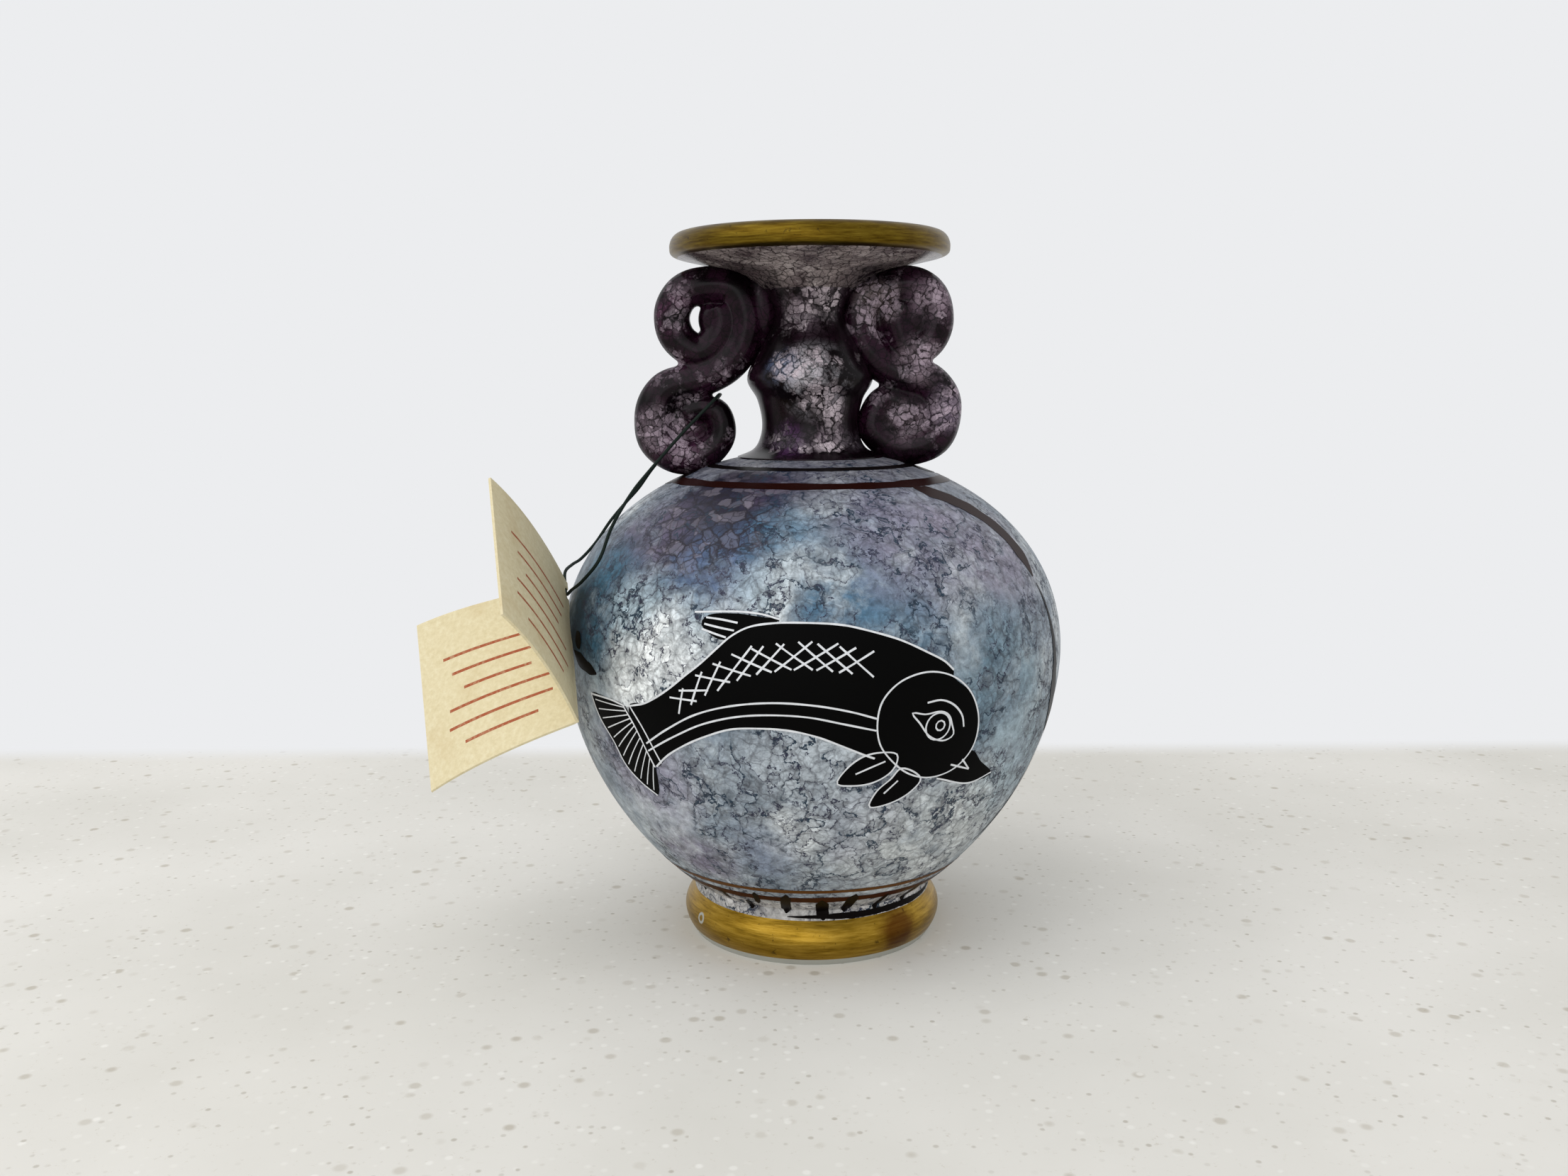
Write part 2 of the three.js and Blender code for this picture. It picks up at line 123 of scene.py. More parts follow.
# How finely the clay is drawn, and how far apart and how deep finger marks are
COIL_SPACING = 0.6
COIL_VOXEL = 0.33
FINGER_SPACING = 5.5
FINGER_DEPTH = 0.16
UPPER_VOLUTE_SEAT = 0.64
UPPER_VOLUTE_DROP = 0.4
LOWER_VOLUTE_SINK = 0.8
UPPER_START = {"start": 95, "fold_after": 180, "fold_over": 65}
LOWER_START = {"start": 12, "fold_after": 185, "fold_over": 110}
WINDING_STEPS = 7
CROWN = (134, 1.28)
BEND = (104, 1.3)
SHOULDER_BEND = (58, 1.13)
STEM_LIFT = 1.6
STEM_OFFSETS = [(0.7, 4), (0, 0), (1.2, -4.2), (4.1, -7.6)]
# Each volute: distance of its centre from the axis, half width, half height, and its winding
HANDLES = {
    "left_handle": {
        "side": -1,
        "upper": (19.5, 5.8, 6, {**UPPER_START, "turn": 312, "eye": 0.6}),
        "lower": (22.6, 6.7, 6.4, {**LOWER_START, "turn": 300, "eye": 0.25}),
        "lower_tip": 2.3,
        "stem": 11.65,
    },
    "right_handle": {
        "side": 1,
        "upper": (18.5, 4.6, 6, {**UPPER_START, "turn": 325, "eye": 0.52}),
        "lower": (18, 6.8, 6.2, {**LOWER_START, "turn": 400, "eye": 0.2}),
        "lower_tip": 2.8,
        "stem": 9,
    },
}

# Clay pressed in by hand: a web from the left stem to the throat, the pad that closes the
# eye of the left lower volute from behind, and plugs. Half sizes along X, Y and Z.
WEB_HALF = (3.2, 2.4, 7.6)
WEB_X = 9
WEB_ABOVE_STEM = 3.4
# The mouth's wall above the web: rise over the throat's end, and slope outwards from there
WEB_INTO_MOUTH = 0.6
MOUTH_SLOPE = 0.62
PAD_HALF = (4.2, 1.6, 4.4)
PAD_BEHIND = 0.9
PLUG_HALF = (6, 2.6, 5.2)
SLIT_PLUG_HALF = (2.3, 2.5, 3.3)
SLIT_PLUG_INSET = 1.4

LEAF_LONG = 33
LEAF_WIDE = 28.7
CARD = 0.45
LEAF_SPACING = 1.2
LEAF_BOW = 1.1
LEAF_BOW_AT = 0.62
BACK_LEAF_TWIST = 7.4
FRONT_LEAF_TWIST = -1.4
FOLD_SETBACK = 0.6
CREASE_INSIDE = 0.12
CREASE_BENDS = 9
CREASE_ROW = 2.5
CREASE_NOTCH_PLAY = 0.1
HOLE_RADIUS = 1.5
HOLE_DROP = 3
FOLD_TOP = Vector((-45.2, -6.4, 66.9))
FOLD_DOWN = Vector((0.159, -0.787, -0.598)).normalized()
BACK_LEAF_OUT = Vector((-0.963, 0.01, -0.268)).normalized()
LEAF_OPENING = math.radians(82.5)
# Thin rules across the front of each leaf
RULE_SPACING = 3.6
RULE_WIDTH = 0.6
RULE_REACH = (6.5, 10.5)
RULE_TOP = 7
RULE_MIDDLE = 0.48

WIRE_DIAMETER = 0.6
WIRE_SPACING = 0.9
WIRE_ROUTE = [
    (-16.7, -1.0, 101.0), (-16.7, -3.0, 101.0), (-18.0, -4.7, 99.6), (-22.9, -5.7, 94.6),
    (-29.2, -8.0, 87.5), (-31.9, -11.0, 84.1), (-35.2, -15.2, 78.4), (-37.2, -19.6, 72.7),
    (-40.3, -17.8, 69.0), (-43.1, -12.6, 66.6), (-44.6, -9.3, 65.3), (-45.2, -6.5, 66.8),
    (-45.6, -3.6, 68.6), (-45.0, 1.8, 69.4), (-43.9, 6.0, 70.0), (-41.6, 10.2, 72.6),
    (-38.9, 12.2, 76.6), (-36.0, 12.2, 80.0), (-33.2, 11.0, 83.0), (-29.8, 8.4, 87.4),
    (-24.0, 6.0, 93.4), (-18.0, 4.7, 99.6), (-16.7, 3.0, 101.0), (-16.7, 1.0, 101.0),
]

# The thrown surface lies a little under its nominal radius, so that paint has room on it
SKIN = 0.14
HAND_WOBBLE = 0.07
WOBBLE_ROUND = 1.6
WOBBLE_HEIGHT = 14
# Nothing nearer the axis than this is shifted
UNTOUCHED_RADIUS = 5
PAINT = 0.05


def rounded(share, power):
    """How high a rounded shoulder still is at a share of its reach."""
    return (1 - share**power) ** (1 / power)


def shoulder_above(radius, wall):
    height = SHOULDER_HEIGHT - wall
    return height * rounded(radius / (BELLY_RADIUS - wall), SHOULDER_POWER)


def lower_below(radius, wall):
    height = LOWER_BELLY_HEIGHT - wall
    return height * rounded(radius / (BELLY_RADIUS - wall), LOWER_POWER)


NECK_SEAT = BELLY_MIDDLE + shoulder_above(COLLAR_RADIUS, 0)
MOUTH_SEAT = NECK_SEAT + NECK_HEIGHT
LIP_SEAT = MOUTH_SEAT + MOUTH_HEIGHT


def belly_radius(height):
    rise = height - BELLY_MIDDLE
    if rise >= 0:
        return BELLY_RADIUS * rounded(min(1, rise / SHOULDER_HEIGHT), SHOULDER_POWER)
    radius = BELLY_RADIUS * rounded(min(1, -rise / LOWER_BELLY_HEIGHT), LOWER_POWER)
    return max(FOOT_TOP_RADIUS, radius)


def hand_wobble(angle, height):
    flat = Vector((math.sin(angle), math.cos(angle), 0)) * WOBBLE_ROUND
    return HAND_WOBBLE * noise.noise(flat + Vector((0, 0, height / WOBBLE_HEIGHT)))


def belly_normal(angle, height):
    step = 0.05
    slope = belly_radius(height + step) - belly_radius(height - step)
    flat = Vector((math.sin(angle), -math.cos(angle), 0))
    return (flat * 2 * step + Vector((0, 0, -slope))).normalized()


def on_belly(arc, height, lift=0):
    """A point of the belly, in metres: arc is millimetres round the widest ring from the front."""
    angle = arc / BELLY_RADIUS
    radius = belly_radius(height) - SKIN + hand_wobble(angle, height)
    place = Vector((math.sin(angle) * radius, -math.cos(angle) * radius, height))
    return (place + belly_normal(angle, height) * lift) * MM


def between(a, b, leave, arrive, t):
    """A point between a and b, on the cubic that leaves and arrives with those tangents."""
    bend = 2 * a - 2 * b + leave + arrive
    sweep = -3 * a + 3 * b - 2 * leave - arrive
    return ((bend * t + sweep) * t + leave) * t + a


def spline(points, steps):
    """Uniform spline through points of the (radius, height) plane."""
    last = len(points) - 1
    line = []
    for step in range(steps + 1):
        place = last * step / steps
        k = min(int(place), last - 1)
        before, a, b, after = [Vector(points[min(max(i, 0), last)]) for i in range(k - 1, k + 3)]
        line.append(between(a, b, (b - before) / 2, (after - a) / 2, place - k))
    return line


def through(points, per_span=24, closed=False):
    """Centripetal spline through points, as the part's coils and wire are drawn."""
    points = [Vector(p) for p in points]
    if closed:
        ends = [points[-1]] + points + [points[0], points[1]]
    else:
        ends = [2 * points[0] - points[1]] + points + [2 * points[-1] - points[-2]]
    line = []
    for p0, p1, p2, p3 in zip(ends, ends[1:], ends[2:], ends[3:]):
        d1 = max((p2 - p1).length ** 0.5, 1e-4)
        d0 = (p1 - p0).length ** 0.5 or d1
        d2 = (p3 - p2).length ** 0.5 or d1
        t1 = ((p1 - p0) / d0 - (p2 - p0) / (d0 + d1) + (p2 - p1) / d1) * d1
        t2 = ((p2 - p1) / d1 - (p3 - p1) / (d1 + d2) + (p3 - p2) / d2) * d1
        line += [between(p1, p2, t1, t2, step / per_span) for step in range(per_span)]
    if not closed:
        line.append(points[-1])
    return line


def evenly(line, spacing):
    """The same line with its points at equal distances."""
    lengths = [0]
    for a, b in zip(line, line[1:]):
        lengths.append(lengths[-1] + (b - a).length)
    count = max(2, round(lengths[-1] / spacing))
    even = []
    k = 0
    for i in range(count + 1):
        goal = lengths[-1] * i / count
        while k < len(line) - 2 and lengths[k + 1] < goal:
            k += 1
        span = lengths[k + 1] - lengths[k]
        even.append(line[k].lerp(line[k + 1], (goal - lengths[k]) / span if span else 0))
    return even


def placed(name, data):
    """A new object, linked into the scene."""
    piece = bpy.data.objects.new(name, data)
    bpy.context.scene.collection.objects.link(piece)
    return piece


def mesh_object(name, made, finishes=()):
    """Turns a bmesh into an object, and frees it."""
    mesh = bpy.data.meshes.new(name)
    made.to_mesh(mesh)
    made.free()
    for finish in finishes:
        mesh.materials.append(finish)
    return placed(name, mesh)


def finished(name, made, finishes, body, slot, *nodes):
    """Turns a bmesh into a piece that rides on a body of the part, if one is named."""
    for edge in made.edges:
        edge.smooth = edge.calc_face_angle(0) < CREASE_ANGLE
    for face in made.faces:
        face.smooth = True
    piece = mesh_object(name, made, finishes)
    if body:
        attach(piece, body)
    if nodes:
        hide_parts(*nodes)
    return piece


def turned(section):
    """A closed section in the (radius, height) plane, spun about the vase's axis by hand."""
    made = bmesh.new()
    corners = [made.verts.new((r * MM, 0, z * MM)) for r, z in section]
    sides = [made.edges.new(pair) for pair in zip(corners, corners[1:] + corners[:1])]
    bmesh.ops.spin(
        made,
        geom=corners + sides,
        cent=(0, 0, 0),
        axis=(0, 0, 1),
        dvec=(0, 0, 0),
        angle=2 * math.pi,
        steps=TURN_STEPS,
        use_merge=True,
        use_duplicate=False,
    )
    bmesh.ops.remove_doubles(made, verts=made.verts, dist=1e-6)
    bmesh.ops.recalc_face_normals(made, faces=made.faces)
    for vert in made.verts:
        flat = Vector((vert.co.x, vert.co.y, 0))
        if flat.length > UNTOUCHED_RADIUS * MM:
            angle = math.atan2(vert.co.x, -vert.co.y)
            shift = hand_wobble(angle, vert.co.z / MM) - SKIN
            vert.co += flat.normalized() * shift * MM
    return made


def belly_curve(from_radius, to_radius, wall, steps):
    widest = BELLY_RADIUS - wall
    low = math.acos((from_radius / widest) ** (LOWER_POWER / 2))
    high = math.acos((to_radius / widest) ** (SHOULDER_POWER / 2))
    points = []
    for i in range(steps):
        radius = widest * math.cos(low * (1 - i / steps)) ** (2 / LOWER_POWER)
        points.append((radius, BELLY_MIDDLE - lower_below(radius, wall)))
    for i in range(steps + 1):
        radius = widest * math.cos(high * i / steps) ** (2 / SHOULDER_POWER)
        points.append((radius, BELLY_MIDDLE + shoulder_above(radius, wall)))
    return points


def belly_section():
    floor = FOOT_HEIGHT + FLOOR_THICKNESS
    inner_foot = FOOT_TOP_RADIUS - BELLY_WALL
    outside = belly_curve(FOOT_TOP_RADIUS, COLLAR_RADIUS, 0, 36)
    inside = belly_curve(inner_foot, NECK_BORE_AT_COLLAR, BELLY_WALL, 14)
    cavity = [p for p in inside if p[1] > floor + 0.5]
    bottom = [(0, FOOT_HEIGHT), (FOOT_TOP_RADIUS, FOOT_HEIGHT)]
    top = [(NECK_BORE_AT_COLLAR, NECK_SEAT)]
    return bottom + outside + top + cavity[::-1] + [(inner_foot - 1, floor), (0, floor)]


def foot_section():
    shoulder = FOOT_RIDGE_RADIUS - FOOT_RIDGE_SOFTNESS
    outside = [
        (FOOT_BASE_RADIUS, 0),
        (shoulder, FOOT_RIDGE_HEIGHT / 2),
        (FOOT_RIDGE_RADIUS, FOOT_RIDGE_HEIGHT),
        (shoulder, (FOOT_RIDGE_HEIGHT + FOOT_HEIGHT) / 2),
        (FOOT_TOP_RADIUS, FOOT_HEIGHT),
    ]
    bore = [(FOOT_BORE_RADIUS, FOOT_HEIGHT), (FOOT_BORE_RADIUS + FOOT_BORE_FLARE, 0)]
    return [tuple(p) for p in spline(outside, 24)] + bore


def neck_curve(inset, steps):
    line = spline([(radius - inset, rise) for radius, rise in NECK_LINE], steps)
    return [(p.x, NECK_SEAT + p.y) for p in line]


def neck_section():
    channel = neck_curve(NECK_WALL, 20)
    channel = [p for p in channel if p[1] > NECK_SEAT + COLLAR_FLARE_RISE]
    seat = [(NECK_BORE_AT_COLLAR, NECK_SEAT), (COLLAR_RADIUS, NECK_SEAT)]
    return seat + neck_curve(0, 60) + channel[::-1]


def mouth_section():
    bore = NECK_TOP_RADIUS - NECK_WALL
    inner = MOUTH_RADIUS - LIP_WIDTH
    flare = [(NECK_TOP_RADIUS, 0), *MOUTH_FLARE, (MOUTH_RADIUS, 1)]
    dish = [
        (inner, 1),
        (inner - DISH_EDGE, 1 - MOUTH_EDGE / 2 / MOUTH_HEIGHT),
        ((inner + bore) / 2, DISH_MIDDLE),
        (bore + DISH_FOOT[0], DISH_FOOT[1]),
        (bore, 0),
    ]
    section = []
    for points, steps in ((flare, 28), (dish, 24)):
        line = [(radius, MOUTH_SEAT + MOUTH_HEIGHT * share) for radius, share in points]
        section += [tuple(p) for p in spline(line, steps)]
    return section


def lip_section():
    middle = MOUTH_RADIUS - LIP_WIDTH / 2
    points = []
    for i in range(LIP_STEPS + 1):
        angle = math.pi * i / LIP_STEPS
        reach = middle + LIP_WIDTH / 2 * math.cos(angle)
        points.append((reach, LIP_SEAT + LIP_HEIGHT * math.sin(angle)))
    return points


def eased(share):
    share = min(1, max(0, share))
    return share * share * (3 - 2 * share)


def volute_point(centre, angle, reach):
    x, z, width, height = centre
    angle = math.radians(angle)
    return (x + width * reach * math.cos(angle), z + height * reach * math.sin(angle))


def volute(centre, start, fold_after, fold_over, turn, eye):
    points = []
    for i in range(WINDING_STEPS + 1):
        travelled = turn * i / WINDING_STEPS
        folded = eased((travelled - fold_after) / fold_over)
        points.append(volute_point(centre, start - travelled, 1 - (1 - eye) * folded))
    return points


def volute_centres(shape):
    """The upper volute hangs under the mouth, and the lower one is pressed into the shoulder."""
    x, width, height, _ = shape["upper"]
    under_mouth = MOUTH_SEAT + MOUTH_HEIGHT * UPPER_VOLUTE_SEAT
    top = (x, under_mouth - COIL_RADIUS - height - UPPER_VOLUTE_DROP, width, height)
    x, width, height, _ = shape["lower"]
    seat = BELLY_MIDDLE + shoulder_above(x, 0)
    return top, (x, seat + COIL_RADIUS + height - LOWER_VOLUTE_SINK, width, height)


def stem_middle(top, bottom):
    return (volute_point(top, *CROWN)[1] + volute_point(bottom, *BEND)[1]) / 2 + STEM_LIFT


def handle_line(shape):
    """Centre line of a scroll handle, from its upper eye to its lower eye."""
    top, bottom = volute_centres(shape)
    middle = stem_middle(top, bottom)
    stem = [(shape["stem"] + out, middle + up) for out, up in STEM_OFFSETS]
    line = volute(top, **shape["upper"][3])[::-1] + [volute_point(top, *CROWN)] + stem
    line += [volute_point(bottom, *BEND), volute_point(bottom, *SHOULDER_BEND)]
    line += volute(bottom, **shape["lower"][3])
    return through([(shape["side"] * x, 0, z) for x, z in line])


def coil_radius(share, lower_tip):
    upper = UPPER_TIP_RADIUS + (COIL_RADIUS - UPPER_TIP_RADIUS) * eased(share / UPPER_TAPER)
    return lower_tip + (upper - lower_tip) * eased((1 - share) / LOWER_TAPER)


def tube(name, line, radii, sides):
    """A curve of one open spline with a round section. Line and radii are millimetres."""
    curve = bpy.data.curves.new(name, "CURVE")
    curve.dimensions = "3D"
    curve.bevel_depth = max(radii) * MM
    curve.bevel_resolution = sides // 4 - 1
    curve.use_fill_caps = True
    track = curve.splines.new("POLY")
    track.points.add(len(line) - 1)
    for point, place, radius in zip(track.points, line, radii):
        point.co = (*(place * MM), 1)
        point.radius = radius / max(radii)
    return placed(name, curve)


def baked_mesh(piece):
    """The piece's mesh with its modifiers applied. The piece itself is removed."""
    shown = bpy.context.evaluated_depsgraph_get()
    shown.update()
    mesh = bpy.data.meshes.new_from_object(piece.evaluated_get(shown))
    bpy.data.objects.remove(piece)
    made = bmesh.new()
    made.from_mesh(mesh)
    bpy.data.meshes.remove(mesh)
    return made


def pressed_clay(made, half, place):
    """Adds a flattened ball of clay to a bmesh."""
    shape = Matrix.Translation(Vector(place) * MM) @ Matrix.Diagonal((*(v * MM for v in half), 1))
    bmesh.ops.create_icosphere(made, subdivisions=4, radius=1, matrix=shape)


def rolled_coil(name, shape):
    """One coil of clay, rolled up at both ends, its turns pressed into each other."""
    line = evenly(handle_line(shape), COIL_SPACING)
    last = len(line) - 1
    radii = [coil_radius(i / last, shape["lower_tip"]) for i in range(last + 1)]
    made = baked_mesh(tube(name + "_coil", line, radii, 24))
    top, bottom = volute_centres(shape)
    if shape["side"] < 0:
        pressed_clay(made, WEB_HALF, (-WEB_X, 0, stem_middle(top, bottom) + WEB_ABOVE_STEM))
        pressed_clay(made, PAD_HALF, (-bottom[0], PAD_BEHIND, bottom[1]))
        pressed_clay(made, SLIT_PLUG_HALF, (SLIT_PLUG_INSET - top[0], 0, top[1]))
    else:
        pressed_clay(made, PLUG_HALF, (top[0], 0, top[1]))
        pressed_clay(made, PLUG_HALF, (bottom[0], 0, bottom[1]))
    raw = mesh_object(name + "_raw", made)
    remesh = raw.modifiers.new("clay", "REMESH")
    remesh.mode = "VOXEL"
    remesh.voxel_size = COIL_VOXEL * MM
    soften = raw.modifiers.new("fingers", "SMOOTH")
    soften.factor = 0.5
    soften.iterations = 4
    made = baked_mesh(raw)
    made.normal_update()
    for vert in made.verts:
        place = vert.co / (FINGER_SPACING * MM)
        vert.co += vert.normal * noise.noise(place) * FINGER_DEPTH * MM
        out = vert.co.xy.length / MM
        if out < MOUTH_RADIUS / 2:
            wall = WEB_INTO_MOUTH + MOUTH_SLOPE * max(0, out - NECK_TOP_RADIUS)
            vert.co.z = min(vert.co.z, (MOUTH_SEAT + wall) * MM)
    return made


SMOOTH = {"interpolation_type": "SMOOTHSTEP"}


def linear(code):
    """An sRGB hex colour as the linear one that a node takes."""
    values = [int(code[i : i + 2], 16) / 255 for i in (1, 3, 5)]
    bent = [v / 12.92 if v <= 0.04045 else ((v + 0.055) / 1.055) ** 2.4 for v in values]
    return (*bent, 1)


class Finish:
    """A material, or the world's light, that is built up from nodes."""

    def __init__(self, name, kind="materials"):
        self.made = getattr(bpy.data, kind).new(name)
        self.made.use_nodes = True
        self.tree = self.made.node_tree
        self.tree.nodes.clear()
        self.place = self.add("TexCoord").outputs["Object"]

    def add(self, kind, inputs=None, stops=None, **settings):
        """A new node. An input is a value, a socket, or a node that stands for its first output."""
        made = self.tree.nodes.new("ShaderNode" + kind)
        for key, value in settings.items():
            setattr(made, key, value)
        for key, value in (inputs or {}).items():
            if isinstance(value, bpy.types.Node):
                value = value.outputs[0]
            if isinstance(value, bpy.types.NodeSocket):
                self.tree.links.new(value, made.inputs[key])
            else:
                made.inputs[key].default_value = value
        if stops:
            ramp = made.color_ramp
            while len(ramp.elements) < len(stops):
                ramp.elements.new(0.5)
            for element, (where, code) in zip(ramp.elements, stops):
                element.position = where
                element.color = linear(code)
        return made

    def surface(self, colour, roughness, gloss=0.5, metal=0, relief=None):
        """Ends a material. Relief is a height, its depth in millimetres and its strength."""
        inputs = {"Base Color": colour, "Roughness": roughness, "Metallic": metal}
        inputs["Specular IOR Level"] = gloss
        if relief:
            height, depth, strength = relief
            bump = {"Height": height, "Distance": depth * MM, "Strength": strength}
            inputs["Normal"] = self.add("Bump", bump)
        return self.close(self.add("BsdfPrincipled", inputs))

    def close(self, shader, kind="OutputMaterial"):
        self.add(kind, {"Surface": shader})
        return self.made


def grain(millimetres):
    """The scale of a pattern whose features are that far apart."""
    return 1 / (millimetres * MM)


def stirred(finish, size, reach):
    """Coordinates that wander, as wet glaze does. Size and reach are millimetres."""
    drift = finish.add(
        "TexNoise",
        {"Vector": finish.place, "Scale": grain(size), "Detail": 7, "Roughness": 0.6},
    ).outputs["Color"]
    drift = finish.add("VectorMath", {0: drift, 1: (0.5,) * 3}, operation="SUBTRACT")
    moved = {0: drift, 1: (reach * MM,) * 3, 2: finish.place}
    return finish.add("VectorMath", moved, operation="MULTIPLY_ADD")


def clouded(finish, spot, size, detail, roughness, stops):
    """A colour that drifts through stops, and the pattern that it follows."""
    pattern = finish.add(
        "TexNoise",
        {"Vector": spot, "Scale": grain(size), "Detail": detail, "Roughness": roughness},
    )
    return finish.add("ValToRGB", {"Fac": pattern}, stops=stops), pattern


def speckled(finish, spot, size, detail, roughness, span, share=(0, 1), **settings):
    """A share that rises from its first value to its second over a span of a fine pattern."""
    pattern = finish.add(
        "TexNoise",
        {"Vector": spot, "Scale": grain(size), "Detail": detail, "Roughness": roughness},
    )
    limits = {"From Min": span[0], "From Max": span[1], "To Min": share[0], "To Max": share[1]}
    return finish.add("MapRange", {"Value": pattern, **limits}, **settings)


def cells(finish, spot, size, low, high, most=1):
    """Cells of one size: the share that each gets by lot, and the distance from their walls."""
    inputs = {"Vector": spot, "Scale": grain(size)}
    tone = finish.add("TexVoronoi", inputs).outputs["Color"]
    lot = finish.add("SeparateColor", {0: tone})
    limits = {"Value": lot, "From Min": low, "From Max": high, "To Max": most}
    walls = finish.add("TexVoronoi", inputs, feature="DISTANCE_TO_EDGE")
    return finish.add("MapRange", limits), walls


def patch(finish, spot, centre, full, edge, most=1.0):
    """Share of a soft patch: most within full millimetres of its centre, none past edge."""
    far = finish.add(
        "VectorMath", {0: spot, 1: Vector(centre) * MM}, operation="DISTANCE"
    ).outputs["Value"]
    limits = {"From Min": full * MM, "From Max": edge * MM, "To Min": most, "To Max": 0}
    return finish.add("MapRange", {"Value": far, **limits}, **SMOOTH)


def tide_lines(finish, spot, size, bands, crisp):
    """Dark edges that drying pools leave: a thin line at each noise contour, and a soft side.

    Crisp is the share of each band that its line takes up.
    """
    add = finish.add
    pools = add(
        "TexNoise",
        {"Vector": spot, "Scale": grain(size), "Detail": 10, "Roughness": 0.55},
    )
    level = add("Math", {0: pools, 1: bands}, operation="MULTIPLY")
    level = add("Math", {0: level}, operation="FRACT")
    line = add(
        "MapRange",
        {"Value": level, "From Min": 1 - crisp, "From Max": 1 - crisp / 3, "To Max": 0.85},
    )
    soft = add("Math", {0: level, 1: 4}, operation="POWER")
    inputs = {0: soft, 1: 0.4, 2: line}
    return add("Math", inputs, operation="MULTIPLY_ADD", use_clamp=True)


GLAZE_TONES = [(0.34, "#5d6c79"), (0.45, "#8995a1"), (0.55, "#a7b0b7"), (0.68, "#d0d7da")]
# Tints near the neck and the foot: height where each begins and is full, share and colour
GLAZE_TINTS = [(81, 88, 0.65, "#5f5763"), (14.5, 11.5, 0.8, "#c9c6c3")]
# Where the belly's glaze pooled: centre, full and edge radius, colour and share. The back
# and the sides have the general marbling.
GLAZE_POOLS = [
    ((-15, -27, 83), 7, 14, "#140e24", 2.4),
    ((-5, -26, 85), 3, 9, "#443a50", 0.8),
    ((-29, -24, 79), 5, 15, "#564f66", 0.9),
    ((-38, -25, 66), 7, 17, "#34627c", 1.0),
    ((-24, -38, 68), 4, 12, "#587c90", 0.7),
    ((-16, -36, 74), 5, 12, "#45597a", 0.95),
    ((5, -42, 69), 4, 12, "#3b6480", 0.95),
    ((15, -42, 65), 3, 11, "#486b84", 0.8),
    ((31, -34, 54), 6, 17, "#557688", 0.7),
    ((-6, -35, 79), 3, 9, "#466f8b", 0.75),
    ((16, -32, 79), 7, 19, "#77748a", 0.85),
    ((29, -24, 76), 7, 17, "#868092", 0.8),
    ((-29, -32, 38), 6, 15, "#8b879b", 0.75),
    ((8, -39, 31), 4, 10, "#9596a6", 0.6),
    ((-1, -44, 40), 7, 17, "#b4bdc5", 0.9),
    ((-9, -41, 71), 2, 7, "#a9bdca", 0.6),
    ((-27, -37, 58), 5, 13, "#eef3f5", 1.25),
    ((-31, -32, 68), 2, 8, "#bccfda", 0.7),
    ((-5, -40, 29), 3, 8, "#dfe4e6", 0.9),
    ((20, -32, 24), 8, 20, "#c6cbcc", 0.95),
    ((36, -24, 39), 7, 17, "#96a9b4", 0.8),
    ((-42, -18, 62), 4, 11, "#1a3546", 1.1),
    ((-9, -36, 26), 3, 8, "#76819a", 0.6),
    ((-20, -28, 22), 4, 10, "#665b75", 0.8),
]


